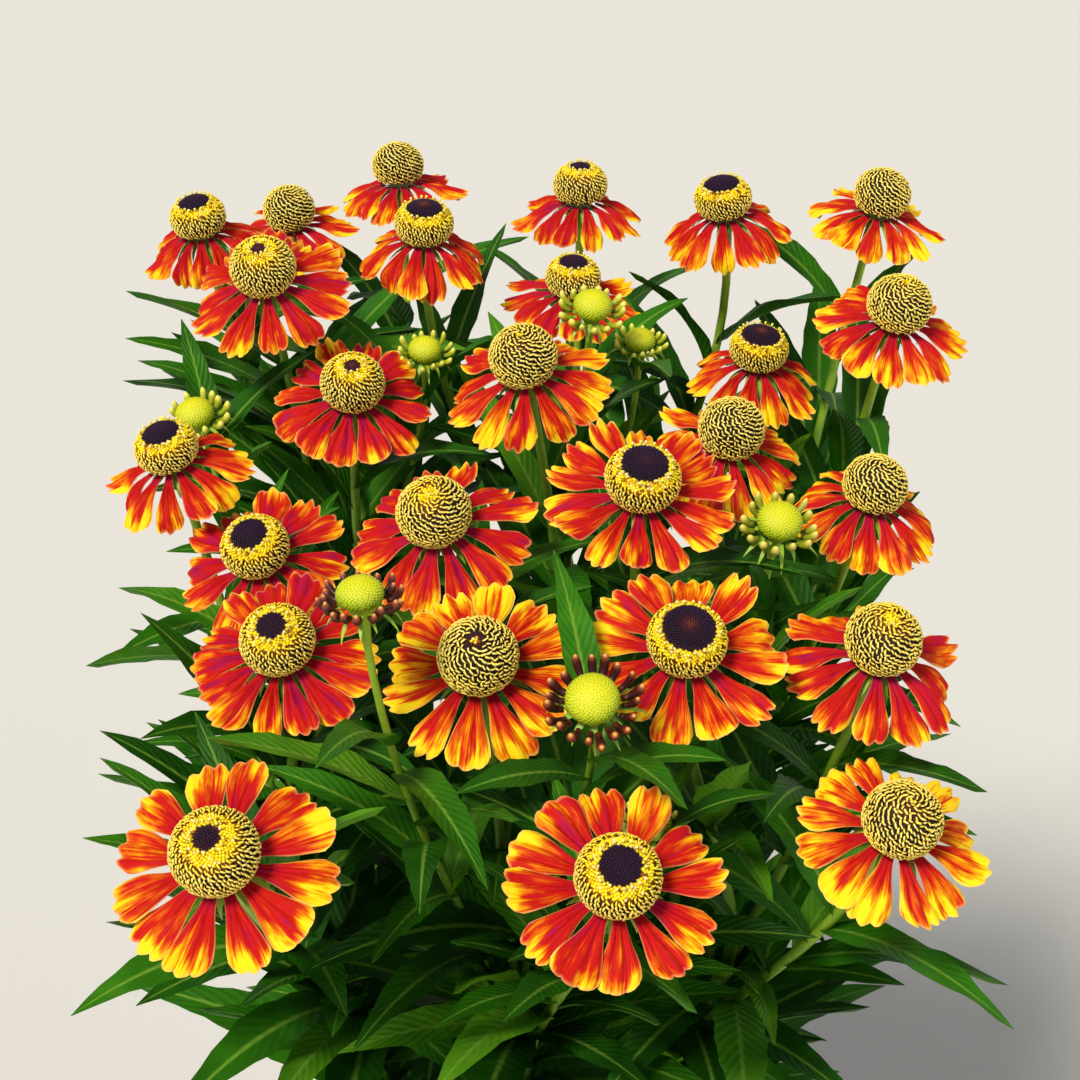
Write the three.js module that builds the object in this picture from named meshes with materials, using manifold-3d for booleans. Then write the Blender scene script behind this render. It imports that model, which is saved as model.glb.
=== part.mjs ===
// A potted sneezeweed: a clump of leafy stems in a plain clay pot, with red and gold daisy heads round
// globe-shaped discs, and lime buds between them. Millimetres, +Z up, origin under the middle of the pot.
import * as THREE from "three";
import { mergeVertices } from "three/addons/utils/BufferGeometryUtils.js";
import Module from "manifold-3d";

const wasm = await Module();
wasm.setup();

// Driving dimensions

const pot = {
  height: 200, rimRadius: 125, rimHeight: 38, rimProud: 7, rimTaper: 3, footRadius: 84, wall: 8, floor: 10,
  sides: 36, drains: 3, drainRadius: 6, drainRing: 46, drainSides: 8,
};
const soil = {
  belowRim: 26, dome: 9, crumb: 1.6, gap: 0.35, rings: 3, holeDepth: 26, holeSides: 8, holeReach: 42,
};
const headGap = 0.3; // between a stalk, the ray whorl on it and the disc above
const headDepth = 4; // how far under its face a head still takes up room
// The heads stand where a viewer in front of the pot sees them: u to the right and v down, in pixels about
// the middle of the view, and rise above or below the crown's mean height.
const eye = { pitch: 36, distance: 682, focal: 2250, centre: 540 };
const crown = { y: -54, z: 610 };
// wide is the span of the head, lean its tilt to the front and roll its tilt to the right, in degrees. droop
// is how far the rays hang, rays their number, and age runs from 0, in bud, to 1, with every floret open.
const heads = [
  { u: 222, v: 865, rise: -16, wide: 63, lean: 24, roll: -6, droop: 8, rays: 12, age: 0.78, stem: 0 },
  { u: 615, v: 888, rise: -20, wide: 60, lean: 25, roll: 4, droop: 3, rays: 12, age: 0.62, stem: 1 },
  { u: 893, v: 836, rise: -30, wide: 58, lean: 16, roll: 10, droop: 20, rays: 12, age: 1.0, stem: 2 },
  { u: 284, v: 655, rise: -14, wide: 58, lean: 20, roll: -8, droop: 13, rays: 14, age: 0.7, stem: 0 },
  { u: 481, v: 671, rise: -4, wide: 60, lean: 24, roll: -4, droop: 14, rays: 12, age: 1.0, stem: 1 },
  { u: 684, v: 655, rise: 2, wide: 59, lean: 20, roll: 3, droop: 6, rays: 12, age: 0.45, stem: 2 },
  { u: 876, v: 660, rise: -8, wide: 58, lean: 10, roll: 8, droop: 28, rays: 12, age: 0.95, stem: 2 },
  { u: 262, v: 562, rise: -16, wide: 56, lean: 18, roll: -10, droop: 14, rays: 12, age: 0.58, stem: 0 },
  { u: 440, v: 530, rise: 6, wide: 59, lean: 18, roll: -10, droop: 21, rays: 12, age: 0.95, stem: 1 },
  { u: 640, v: 497, rise: 14, wide: 60, lean: 14, roll: 4, droop: 8, rays: 14, age: 0.5, stem: 2 },
  { u: 174, v: 466, rise: 0, wide: 53, lean: 5, roll: -12, droop: 34, rays: 12, age: 0.52, stem: 0 },
  { u: 868, v: 505, rise: -8, wide: 54, lean: 5, roll: 10, droop: 32, rays: 12, age: 0.9, stem: 3 },
  { u: 353, v: 400, rise: -2, wide: 56, lean: 16, roll: 3, droop: 14, rays: 12, age: 0.82, stem: 4 },
  { u: 527, v: 376, rise: 16, wide: 58, lean: 14, roll: -8, droop: 27, rays: 12, age: 1.0, stem: 5 },
  { u: 727, v: 448, rise: -8, wide: 57, lean: 12, roll: 6, droop: 25, rays: 12, age: 1.0, stem: 3 },
  { u: 893, v: 325, rise: 14, wide: 57, lean: 8, roll: 8, droop: 25, rays: 12, age: 0.97, stem: 3 },
  { u: 267, v: 285, rise: 26, wide: 58, lean: 18, roll: -4, droop: 22, rays: 12, age: 0.85, stem: 4 },
  { u: 572, v: 296, rise: -6, wide: 52, lean: 2, roll: 2, droop: 22, rays: 12, age: 0.6, stem: 5 },
  { u: 756, v: 367, rise: -14, wide: 54, lean: 3, roll: 4, droop: 38, rays: 12, age: 0.45, stem: 3 },
  { u: 203, v: 236, rise: 16, wide: 52, lean: 2, roll: -8, droop: 40, rays: 12, age: 0.55, stem: 4 },
  { u: 292, v: 228, rise: -12, wide: 52, lean: 4, roll: -4, droop: 24, rays: 12, age: 1.0, stem: 4 },
  { u: 424, v: 243, rise: 22, wide: 54, lean: 2, roll: 2, droop: 40, rays: 12, age: 0.5, stem: 5 },
  { u: 580, v: 205, rise: 0, wide: 54, lean: -6, roll: 0, droop: 34, rays: 12, age: 0.7, stem: 5 },
  { u: 725, v: 218, rise: 18, wide: 54, lean: 0, roll: -8, droop: 40, rays: 12, age: 0.5, stem: 5 },
  { u: 876, v: 215, rise: 14, wide: 54, lean: 0, roll: 10, droop: 26, rays: 12, age: 1.0, stem: 3 },
  { u: 400, v: 186, rise: -4, wide: 52, lean: -8, roll: -4, droop: 28, rays: 12, age: 1.0, stem: 4 },
];
// Buds: wide is the dome's span, and nubs the number of short, still rolled rays round it.
const buds = [
  { u: 425, v: 355, rise: 0, wide: 13, lean: 6, roll: 0, nubs: 8, stem: 4 },
  { u: 197, v: 420, rise: -10, wide: 15, lean: 8, roll: -10, nubs: 8, stem: 0 },
  { u: 592, v: 312, rise: 20, wide: 15, lean: 10, roll: 4, nubs: 8, stem: 5 },
  { u: 778, v: 528, rise: 4, wide: 16, lean: 12, roll: 6, nubs: 8, stem: 2 },
  { u: 361, v: 603, rise: 33, wide: 15, lean: -6, roll: -4, nubs: 10, stem: 1 },
  { u: 593, v: 705, rise: 10, wide: 17, lean: 22, roll: -4, nubs: 10, stem: 1 },
  { u: 652, v: 828, rise: -30, wide: 12, lean: 10, roll: 6, nubs: 8, stem: 1 },
  { u: 640, v: 345, rise: -2, wide: 12, lean: 4, roll: 0, nubs: 8, stem: 5 },
];
const ray = {
  whorl: 6.5, thick: 2.0, midAt: 0.7, fullness: 0.97, sideLobeAt: 0.955, sideLobeShare: 0.78, notchAt: 0.91,
  notchShare: 0.36, notchLift: 0.3, crownUp: 0.5, crownDown: 0.45, edgeDrop: 0.5, stagger: 4.5, jitter: 3,
  lengthSpread: 0.1, widthSpread: 0.12, firstDroop: 0.3, firstLift: 5, bendDroop: 1.5, bendBase: 3,
  headSpan: 60,
};
const disc = {
  radius: 11.7, segments: 12, rings: 5, footShare: 0.62, young: 0.74, ripening: 0.18, relief: 0.45,
  flat: 0.97,
};
const bud = {
  angles: [-0.75, -0.1, 0.75], tall: 0.8, sunk: 1.2, nubLong: 0.36, nubOut: 62, nubSpread: 24, nubTaper: 0.6,
};
const stem = {
  count: 6, berth: 3, marks: 20, footRing: 40, footRadius: 4.2, topRadius: 2.5, sides: 6, steps: 4,
  crotchHeight: 468, crotchReach: 0.92, bendHeight: 330, bendReach: 1.25, firstBranch: 0.66, lastBranch: 0.97,
  weld: 0.05,
};
const stalk = {
  berth: 2, marks: 10, radius: 1.9, rootShare: 0.9, neck: 1.5, calyx: 5.2, calyxLong: 6, budCalyx: 0.32,
  sides: 4, leave: 0.35, arrive: 0.4, middle: 0.5,
};
const leaf = {
  perStem: 13, lowest: 0.1, highest: 0.91, low: 104, mid: 132, high: 82, longestAt: 0.45, broad: 0.25,
  slender: 0.21, inner: 0.66, shortest: 0.9, longest: 1.08, turn: 137.508, sweep: 128, rise: 52, riseSpread: 14,
  arch: 58, archSpread: 30, fold: 0.2, thick: 0.9, rootHigh: 2.2, firstAt: 0.32, firstShare: 1, secondAt: 0.66,
  secondShare: 0.78, tries: 21, step: 17, clear: 0.92, apart: 1.5, berth: 5, probes: 10,
};
const stalkLeaf = { long: 52, shortest: 0.8, longest: 1.15, slender: 0.2, rise: 48, arch: 50, wander: 170 };

const colours = {
  pot: { color: 0xb5653f, roughness: 0.82 },
  soil: { color: 0x35271d, roughness: 1.0 },
  stem: { color: 0x2f6b1f, roughness: 0.62 },
  rays: { color: 0xd9331a, roughness: 0.55 },
  disc: { color: 0x7a5a14, roughness: 0.8 },
};

// Small helpers

const rad = Math.PI / 180;
const spread = (n) => {
  const s = Math.sin(n * 12.9898) * 43758.5453;
  return s - Math.floor(s);
};
const mix = (a, b, t) => a + (b - a) * t;
const vec = (x, y, z) => new THREE.Vector3(x, y, z);

// A closed mesh under construction: points and the triangles between them.
class Shell {
  points = [];
  faces = [];
  point(p) {
    this.points.push(p.x, p.y, p.z);
    return this.points.length / 3 - 1;
  }
  tri(a, b, c) {
    this.faces.push(a, b, c);
  }
  fan(loop) {
    for (let i = 1; i + 1 < loop.length; i++) this.tri(loop[0], loop[i], loop[i + 1]);
  }
  band(low, high) {
    low.forEach((a, i) => {
      const j = (i + 1) % low.length;
      this.tri(a, low[j], high[j]);
      this.tri(a, high[j], high[i]);
    });
  }
  geometry() {
    return new THREE.BufferGeometry()
      .setAttribute("position", new THREE.Float32BufferAttribute(this.points, 3))
      .setIndex(this.faces);
  }
  solid() {
    return solidOf(this.geometry());
  }
}

function solidOf(geometry) {
  const bare = geometry.clone();
  bare.deleteAttribute("normal");
  bare.deleteAttribute("uv");
  const merged = mergeVertices(bare, 1e-3);
  return new wasm.Manifold(
    new wasm.Mesh({
      numProp: 3,
      vertProperties: merged.attributes.position.array,
      triVerts: new Uint32Array(merged.index.array),
    }),
  );
}

function geometryOf(solid) {
  const mesh = solid.getMesh();
  const shell = new Shell();
  for (let i = 0; i < mesh.numVert; i++) {
    const at = i * mesh.numProp;
    shell.point(vec(mesh.vertProperties[at], mesh.vertProperties[at + 1], mesh.vertProperties[at + 2]));
  }
  shell.faces = Array.from(mesh.triVerts);
  return shell.geometry();
}

// A closed tube of rings round a path. at(k) gives the ring's centre, direction and radius.
function tube(count, sides, at) {
  const shell = new Shell();
  const rings = [];
  for (let k = 0; k < count; k++) {
    const { centre, along, radius } = at(k);
    const across = vec(0, 1, 0).cross(along).normalize();
    const over = along.clone().cross(across);
    const ring = [];
    for (let i = 0; i < sides; i++) {
      const turn = (2 * Math.PI * i) / sides;
      const out = across.clone().multiplyScalar(Math.cos(turn)).addScaledVector(over, Math.sin(turn));
      ring.push(shell.point(centre.clone().addScaledVector(out, radius)));
    }
    rings.push(ring);
  }
  for (let k = 0; k + 1 < count; k++) shell.band(rings[k], rings[k + 1]);
  shell.fan([...rings[0]].reverse());
  shell.fan(rings[count - 1]);
  return shell;
}

// The plan of the plant

function onSight({ u, v, rise }) {
  const sin = Math.sin(eye.pitch * rad);
  const cos = Math.cos(eye.pitch * rad);
  const across = (u - eye.centre) / eye.focal;
  const down = (v - eye.centre) / eye.focal;
  const reach = (eye.distance * sin - rise) / (sin + down * cos);
  return vec(across * reach, (cos - down * sin) * reach - eye.distance * cos + crown.y, crown.z + rise);
}

// A head's own frame: its face looks along +Z, and it is turned at random about it.
function headFrame(head) {
  const face = vec(Math.tan(head.roll * rad), -Math.tan(head.lean * rad), 1).normalize();
  const side = vec(0, 1, 0).cross(face).normalize();
  const frame = new THREE.Matrix4().makeBasis(side, face.clone().cross(side), face);
  frame.multiply(new THREE.Matrix4().makeRotationZ(2 * Math.PI * spread(head.u + head.v)));
  return { face, frame: frame.setPosition(onSight(head)) };
}

// Stem s rises from the soil towards the middle of its heads.
function stemPlan(s) {
  const own = heads.filter((h) => h.stem === s).map(onSight);
  const middle = own.reduce((sum, p) => sum.add(p), vec(0, 0, 0)).divideScalar(own.length);
  const out = Math.atan2(middle.y, middle.x);
  const foot = vec(Math.cos(out) * stem.footRing, Math.sin(out) * stem.footRing, 0);
  foot.z = soilTop(foot.x, foot.y) - soil.holeDepth + 1;
  const bend = vec(foot.x * stem.bendReach, foot.y * stem.bendReach, stem.bendHeight);
  const top = vec(middle.x * stem.crotchReach, middle.y * stem.crotchReach, stem.crotchHeight);
  return { curve: new THREE.QuadraticBezierCurve3(foot, bend, top), out };
}

// A stalk leaves its stem at share t of the stem's length and arrives square under its head.
function stalkPlan(head, curve, t) {
  const from = curve.getPoint(t);
  const to = onSight(head);
  const { face } = headFrame(head);
  const length = from.distanceTo(to);
  return new THREE.CubicBezierCurve3(
    from,
    from.clone().addScaledVector(curve.getTangent(t), length * stalk.leave),
    to.clone().addScaledVector(face, -length * stalk.arrive),
    to,
  );
}

function soilTop(x, y) {
  const share = Math.hypot(x, y) / (pot.rimRadius - pot.wall);
  return pot.height - soil.belowRim + soil.dome * (1 - share * share);
}

// A leaf's midrib: it starts at an angle above the horizontal and bends down evenly.
function midrib(plan, t) {
  const start = plan.rise * rad;
  const bend = (-plan.arch * rad) / plan.long;
  const angle = start + bend * plan.long * t;
  const flat = (Math.sin(angle) - Math.sin(start)) / bend;
  const up = (Math.cos(start) - Math.cos(angle)) / bend;
  return {
    at: plan.root.clone().add(vec(Math.cos(plan.out) * flat, Math.sin(plan.out) * flat, up)),
    along: vec(Math.cos(plan.out) * Math.cos(angle), Math.sin(plan.out) * Math.cos(angle), Math.sin(angle)),
  };
}

// Places a leaf so that it clears what stands already: it is turned a little at a time until it does.
function placeLeaf(plan, standing) {
  for (let k = 0; k < leaf.tries; k++) {
    const turn = (k % 2 ? 1 : -1) * Math.ceil(k / 2) * leaf.step;
    const tried = { ...plan, out: plan.out + turn * rad };
    const probes = [];
    for (let i = 1; i <= leaf.probes; i++) {
      const t = i / leaf.probes;
      const half = (leafHalf(t) * plan.long * plan.slender) / 2;
      probes.push({ at: midrib(tried, t).at, radius: Math.max(half, leaf.berth), own: plan.own });
    }
    const blocked = probes.some((p, i) =>
      standing.some((s) => {
        if (i < 1 && s.own === plan.own) return false;
        return p.at.distanceTo(s.at) < (p.radius + s.radius) * leaf.clear + leaf.apart;
      }),
    );
    if (!blocked) {
      standing.push(...probes);
      return tried;
    }
  }
  return null;
}

// The leaf's half width along its length, as a share of the widest.
const leafHalf = (t) => Math.pow(Math.sin(Math.PI * Math.pow(t, 0.8)), 0.9);

// One stem with its stalks: those that reach furthest leave it lowest.
function branchedStem(s) {
  const { curve, out } = stemPlan(s);
  const reach = (head) => onSight(head).setZ(0).distanceTo(curve.getPoint(1).setZ(0));
  const carried = [...heads, ...buds].filter((h) => h.stem === s).sort((a, b) => reach(b) - reach(a));
  const stalks = carried.map((head, i) => {
    const t = mix(stem.firstBranch, stem.lastBranch, i / (carried.length - 1));
    return { head, curve: stalkPlan(head, curve, t) };
  });
  return { curve, out, stalks, leaves: [] };
}

// What the leaves have to clear: the heads, the stems and their stalks.
function standingMarks(stems) {
  const marks = heads.map((head) => {
    const { face } = headFrame(head);
    return { at: onSight(head).addScaledVector(face, -headDepth), radius: head.wide / 2, own: -1 };
  });
  stems.forEach((one, s) => {
    for (let i = 0; i <= stem.marks; i++) {
      marks.push({ at: one.curve.getPoint(i / stem.marks), radius: stem.berth, own: s });
    }
    one.stalks.forEach(({ curve }) => {
      for (let i = 2; i <= stalk.marks; i++) {
        marks.push({ at: curve.getPoint(i / stalk.marks), radius: stalk.berth, own: s });
      }
    });
  });
  return marks;
}

// Leaf i of stem s: the leaves wind up the stem, and those that point outwards are the longest.
function stemLeaf(one, s, i) {
  const share = i / (leaf.perStem - 1);
  const turn = ((i * leaf.turn + (360 / stem.count) * s) % 360) / 360;
  const away = (turn * 2 - 1) * leaf.sweep;
  const swell = Math.sin(Math.PI * Math.min(1, (share * 0.5) / leaf.longestAt));
  const ground = mix(leaf.low, leaf.high, share) + (leaf.mid - (leaf.low + leaf.high) / 2) * swell;
  const inward = mix(1, leaf.inner, Math.pow(Math.abs(away) / leaf.sweep, 2));
  return {
    root: one.curve.getPoint(mix(leaf.lowest, leaf.highest, share)),
    out: one.out + away * rad,
    long: ground * inward * mix(leaf.shortest, leaf.longest, spread(31 * s + i)),
    slender: mix(leaf.broad, leaf.slender, share),
    rise: leaf.rise + leaf.riseSpread * (spread(17 * s + i + 5) - 0.5),
    arch: leaf.arch + leaf.archSpread * (spread(13 * s + i + 9) - 0.5),
    own: s,
  };
}

// The small leaf half way up stalk i of stem s.
function branchLeaf({ curve }, s, i) {
  const root = curve.getPoint(stalk.middle);
  return {
    root,
    out: Math.atan2(root.y, root.x) + stalkLeaf.wander * rad * (spread(11 * s + i + 3) - 0.5),
    long: stalkLeaf.long * mix(stalkLeaf.shortest, stalkLeaf.longest, spread(5 * s + i + 2)),
    slender: stalkLeaf.slender,
    rise: stalkLeaf.rise,
    arch: stalkLeaf.arch,
    own: s,
  };
}

function plantPlan() {
  const stems = Array.from({ length: stem.count }, (_, s) => branchedStem(s));
  const standing = standingMarks(stems);
  stems.forEach((one, s) => {
    const wanted = Array.from({ length: leaf.perStem }, (_, i) => stemLeaf(one, s, i));
    wanted.push(...one.stalks.map((each, i) => branchLeaf(each, s, i)));
    one.leaves = wanted.map((plan) => placeLeaf(plan, standing)).filter((placed) => placed);
  });
  return stems;
}

// The pieces

function potSolid() {
  const { height, rimRadius, rimHeight, rimProud, rimTaper, footRadius, wall, floor } = pot;
  const underRim = rimRadius - rimTaper - rimProud;
  const outline = [
    [0, 0], [footRadius, 0], [underRim, height - rimHeight], [underRim + rimProud, height - rimHeight],
    [rimRadius, height], [rimRadius - wall, height], [footRadius - wall, floor], [0, floor],
  ];
  const body = solidOf(new THREE.LatheGeometry(outline.map(([r, z]) => new THREE.Vector2(r, z)), pot.sides)
    .rotateX(Math.PI / 2));
  return drainPlaces().reduce((clay, { x, y }) => {
    const hole = new THREE.CylinderGeometry(pot.drainRadius, pot.drainRadius, floor * 3, pot.drainSides)
      .rotateX(Math.PI / 2)
      .translate(x, y, 0);
    return clay.subtract(solidOf(hole));
  }, body);
}

function drainPlaces() {
  return Array.from({ length: pot.drains }, (_, i) => {
    const turn = (2 * Math.PI * i) / pot.drains;
    return { x: Math.cos(turn) * pot.drainRing, y: Math.sin(turn) * pot.drainRing };
  });
}

// The pot's inner wall at a height.
function potInside(z) {
  const share = (z - pot.floor) / (pot.height - pot.floor);
  return mix(pot.footRadius - pot.wall, pot.rimRadius - pot.wall, share);
}

function soilSolid(stems) {
  const shell = new Shell();
  const low = pot.floor + soil.gap;
  const edge = pot.height - soil.belowRim;
  const ring = (radius, z) =>
    Array.from({ length: pot.sides }, (_, i) => {
      const turn = (2 * Math.PI * i) / pot.sides;
      return shell.point(vec(Math.cos(turn) * radius, Math.sin(turn) * radius, z(radius, i)));
    });
  const bottom = ring(potInside(low) - soil.gap, () => low);
  const rings = [bottom];
  for (let k = 0; k < soil.rings; k++) {
    const radius = (potInside(edge) - soil.gap) * (1 - k / soil.rings);
    rings.push(ring(radius, (r, i) => soilTop(r, 0) + soil.crumb * (spread(k * 41 + i) - 1)));
  }
  rings.slice(1).forEach((upper, k) => shell.band(rings[k], upper));
  const peak = shell.point(vec(0, 0, soilTop(0, 0)));
  rings[soil.rings].forEach((a, i, all) => shell.tri(a, all[(i + 1) % all.length], peak));
  shell.fan([...bottom].reverse());
  return stems.reduce((earth, { curve }) => {
    const foot = curve.getPoint(0);
    const along = curve.getPoint(1 / stem.steps).sub(foot).normalize();
    const radius = (stem.footRadius + soil.gap) / Math.cos(Math.PI / soil.holeSides);
    const hole = tube(2, soil.holeSides, (k) => ({
      centre: foot.clone().addScaledVector(along, k ? soil.holeReach : -1), along, radius,
    }));
    return earth.subtract(hole.solid());
  }, shell.solid());
}

// One ray's place in its whorl: which way it points, how it hangs, and how long and wide it is.
function rayPlan(head, index, j) {
  const chance = (k) => spread(index * 97 + j * 7 + k) - 0.5;
  const droop = head.droop + (j % 2 ? ray.stagger : -ray.stagger) + ray.jitter * chance(1);
  const span = head.wide / ray.headSpan;
  const long = (ray.headSpan / 2 - ray.whorl) * span * (1 + ray.lengthSpread * chance(2));
  const plan = {
    turn: (2 * Math.PI * (j + 0.5)) / head.rays,
    long,
    whorl: ray.whorl * span,
    start: (droop * ray.firstDroop - ray.firstLift) * rad,
    bend: ((droop * ray.bendDroop + ray.bendBase) * rad) / long,
  };
  const room = rayReach(plan, ray.midAt).out * Math.tan(Math.PI / head.rays);
  plan.half = room * ray.fullness * (1 - ray.widthSpread * (chance(3) + 0.5));
  return plan;
}

// How far out and up a ray's middle line has come at t, with its slope there.
function rayReach(plan, t) {
  const slope = plan.start + plan.bend * plan.long * t;
  return {
    slope,
    out: plan.whorl + (Math.sin(slope) - Math.sin(plan.start)) / plan.bend,
    up: headGap + ray.thick / 2 + (Math.cos(slope) - Math.cos(plan.start)) / plan.bend,
  };
}

// A point of a ray: t along it, w across it in half widths, lift above its surface.
function rayPoint(plan, t, w, lift) {
  const { slope, out, up } = rayReach(plan, t);
  const away = out + lift * Math.sin(slope);
  const side = w * plan.half;
  const cos = Math.cos(plan.turn);
  const sin = Math.sin(plan.turn);
  return vec(away * cos - side * sin, away * sin + side * cos, up + lift * Math.cos(slope));
}

// The rays of one head grow side by side from a short ring, and each has three lobes at its tip.
function raysShell(head, index) {
  const shell = new Shell();
  const span = head.wide / ray.headSpan;
  const corners = Array.from({ length: head.rays }, (_, j) => {
    const turn = (2 * Math.PI * j) / head.rays;
    const radius = ray.whorl * span;
    const at = (z) => shell.point(vec(Math.cos(turn) * radius, Math.sin(turn) * radius, z));
    return { low: at(headGap), high: at(headGap + ray.thick) };
  });
  shell.fan(corners.map((c) => c.high));
  shell.fan(corners.map((c) => c.low).reverse());
  corners.forEach((right, j) => {
    const left = corners[(j + 1) % corners.length];
    const plan = rayPlan(head, index, j);
    const add = (t, w, lift) => shell.point(rayPoint(plan, t, w, lift));
    const over = add(ray.midAt, 0, ray.crownUp);
    const under = add(ray.midAt, 0, -ray.crownDown);
    const edgeR = add(ray.midAt, -1, -ray.edgeDrop);
    const edgeL = add(ray.midAt, 1, -ray.edgeDrop);
    const tipR = add(ray.sideLobeAt, -ray.sideLobeShare, 0);
    const cutR = add(ray.notchAt, -ray.notchShare, ray.notchLift);
    const tip = add(1, 0, 0);
    const cutL = add(ray.notchAt, ray.notchShare, ray.notchLift);
    const tipL = add(ray.sideLobeAt, ray.sideLobeShare, 0);
    shell.tri(right.high, edgeR, over);
    shell.tri(right.high, over, left.high);
    shell.tri(left.high, over, edgeL);
    shell.tri(right.low, under, edgeR);
    shell.tri(right.low, left.low, under);
    shell.tri(left.low, edgeL, under);
    shell.tri(right.low, edgeR, right.high);
    shell.tri(left.low, left.high, edgeL);
    [[edgeR, tipR, cutR], [edgeR, cutR, null], [null, cutR, tip], [null, tip, cutL], [null, cutL, edgeL],
      [edgeL, cutL, tipL]].forEach((corner) => {
      shell.tri(...corner.map((p) => p ?? over));
      shell.tri(...corner.map((p) => p ?? under).reverse());
    });
  });
  return shell;
}

// The disc is a globe with its florets as relief: each second point of its net stands out.
function discShell(head) {
  const shell = new Shell();
  const radius = disc.radius * (head.wide / ray.headSpan);
  const tall = radius * (disc.young + disc.ripening * head.age);
  const low = headGap * 2 + ray.thick;
  const middle = low + tall * disc.footShare;
  const first = -Math.asin(disc.footShare);
  const rings = [];
  for (let k = 0; k < disc.rings; k++) {
    const angle = mix(first, Math.PI / 2, k / disc.rings);
    rings.push(Array.from({ length: disc.segments }, (_, i) => {
      const turn = (2 * Math.PI * (i + k / 2)) / disc.segments;
      const out = k ? (i % 2 ? -disc.relief : disc.relief) : 0;
      const across = Math.cos(angle) * (radius + out);
      const z = k ? middle + Math.sin(angle) * (tall + out) : low;
      return shell.point(vec(Math.cos(turn) * across, Math.sin(turn) * across, z));
    }));
  }
  rings.slice(1).forEach((upper, k) => shell.band(rings[k], upper));
  const top = shell.point(vec(0, 0, middle + tall * disc.flat));
  rings[disc.rings - 1].forEach((a, i, all) => shell.tri(a, all[(i + 1) % all.length], top));
  shell.fan([...rings[0]].reverse());
  return shell;
}

// A bud: a dome with the tips of its rolled rays standing out of its lowest band.
function budSolid(head, index) {
  const shell = new Shell();
  const radius = head.wide / 2;
  const tall = head.wide * bud.tall;
  const sides = Array.from({ length: head.nubs }, (_, i) => i);
  const rings = bud.angles.map((angle) =>
    sides.map((i) => {
      const turn = (2 * Math.PI * i) / head.nubs;
      const across = Math.cos(angle) * radius;
      const z = (tall / 2) * (Math.sin(angle) - Math.sin(bud.angles[0])) - bud.sunk;
      return vec(Math.cos(turn) * across, Math.sin(turn) * across, z);
    }),
  );
  const numbered = rings.map((ring) => ring.map((p) => shell.point(p)));
  numbered.slice(2).forEach((upper, k) => shell.band(numbered[k + 1], upper));
  sides.forEach((i) => {
    const j = (i + 1) % head.nubs;
    const turn = (2 * Math.PI * (i + 0.5)) / head.nubs;
    const out = (bud.nubOut + bud.nubSpread * (spread(index * 23 + i) - 0.5)) * rad;
    const long = head.wide * bud.nubLong * mix(0.75, 1.15, spread(index * 29 + i));
    const along = vec(Math.cos(turn) * Math.sin(out), Math.sin(turn) * Math.sin(out), Math.cos(out));
    const root = [rings[0][i], rings[0][j], rings[1][j], rings[1][i]];
    const middle = root.reduce((sum, p) => sum.add(p), vec(0, 0, 0)).divideScalar(4);
    const end = (p) => middle.clone().lerp(p, bud.nubTaper).addScaledVector(along, long);
    const tip = root.map((p) => shell.point(end(p)));
    shell.band([numbered[0][i], numbered[0][j], numbered[1][j], numbered[1][i]], tip);
    shell.fan(tip);
  });
  const top = shell.point(vec(0, 0, (tall / 2) * (1 - Math.sin(bud.angles[0])) - bud.sunk));
  numbered.at(-1).forEach((a, i, all) => shell.tri(a, all[(i + 1) % all.length], top));
  shell.fan([...numbered[0]].reverse());
  return solidOf(shell.geometry().applyMatrix4(headFrame(head).frame));
}

function stalkSolid({ head, curve }) {
  const length = curve.getLength();
  const calyx = head.nubs ? head.wide * stalk.budCalyx : stalk.calyx * (head.wide / ray.headSpan);
  const shares = [0, stalk.middle, 1 - stalk.calyxLong / length, 1];
  const radii = [stem.topRadius * stalk.rootShare, stalk.radius, stalk.neck, calyx];
  return tube(shares.length, stalk.sides, (k) => ({
    centre: curve.getPoint(shares[k]), along: curve.getTangent(shares[k]), radius: radii[k],
  })).solid();
}

function leafSolid(plan) {
  const shell = new Shell();
  const side = vec(-Math.sin(plan.out), Math.cos(plan.out), 0);
  const half = (plan.long * plan.slender) / 2;
  const at = (t, w, lift) => {
    const { at: centre, along } = midrib(plan, t);
    const over = along.clone().cross(side);
    return shell.point(centre.clone().addScaledVector(side, w).addScaledVector(over, lift));
  };
  const rootO = at(0, 0, leaf.rootHigh / 2);
  const rootU = at(0, 0, -leaf.rootHigh / 2);
  const row = (t, share) => {
    const w = half * share;
    const up = w * leaf.fold;
    return [at(t, w, up), at(t, -w, up), at(t, 0, leaf.thick / 2), at(t, 0, -leaf.thick / 2)];
  };
  const [l1, r1, o1, u1] = row(leaf.firstAt, leaf.firstShare);
  const [l2, r2, o2, u2] = row(leaf.secondAt, leaf.secondShare);
  const tip = at(1, 0, 0);
  const faces = [
    [rootO, o1, l1], [rootO, r1, o1], [rootU, l1, u1], [rootU, u1, r1],
    [rootO, l1, rootU], [rootO, rootU, r1],
    [l1, o1, l2], [o1, o2, l2], [o1, r1, r2], [o1, r2, o2],
    [l1, l2, u1], [u1, l2, u2], [u1, r2, r1], [u1, u2, r2],
    [l2, o2, tip], [o2, r2, tip], [l2, tip, u2], [u2, tip, r2],
  ];
  faces.forEach((corners) => shell.tri(...corners));
  return shell.solid();
}

function stemSolid(one) {
  const main = tube(stem.steps + 1, stem.sides, (k) => {
    const t = k / stem.steps;
    const radius = mix(stem.footRadius, stem.topRadius, t);
    return { centre: one.curve.getPoint(t), along: one.curve.getTangent(t), radius };
  });
  const solids = [main.solid(), ...one.stalks.map(stalkSolid), ...one.leaves.map(leafSolid)];
  one.stalks.forEach(({ head }) => {
    if (head.nubs) solids.push(budSolid(head, buds.indexOf(head)));
  });
  return wasm.Manifold.union(solids).simplify(stem.weld);
}

// The whole plant

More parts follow.
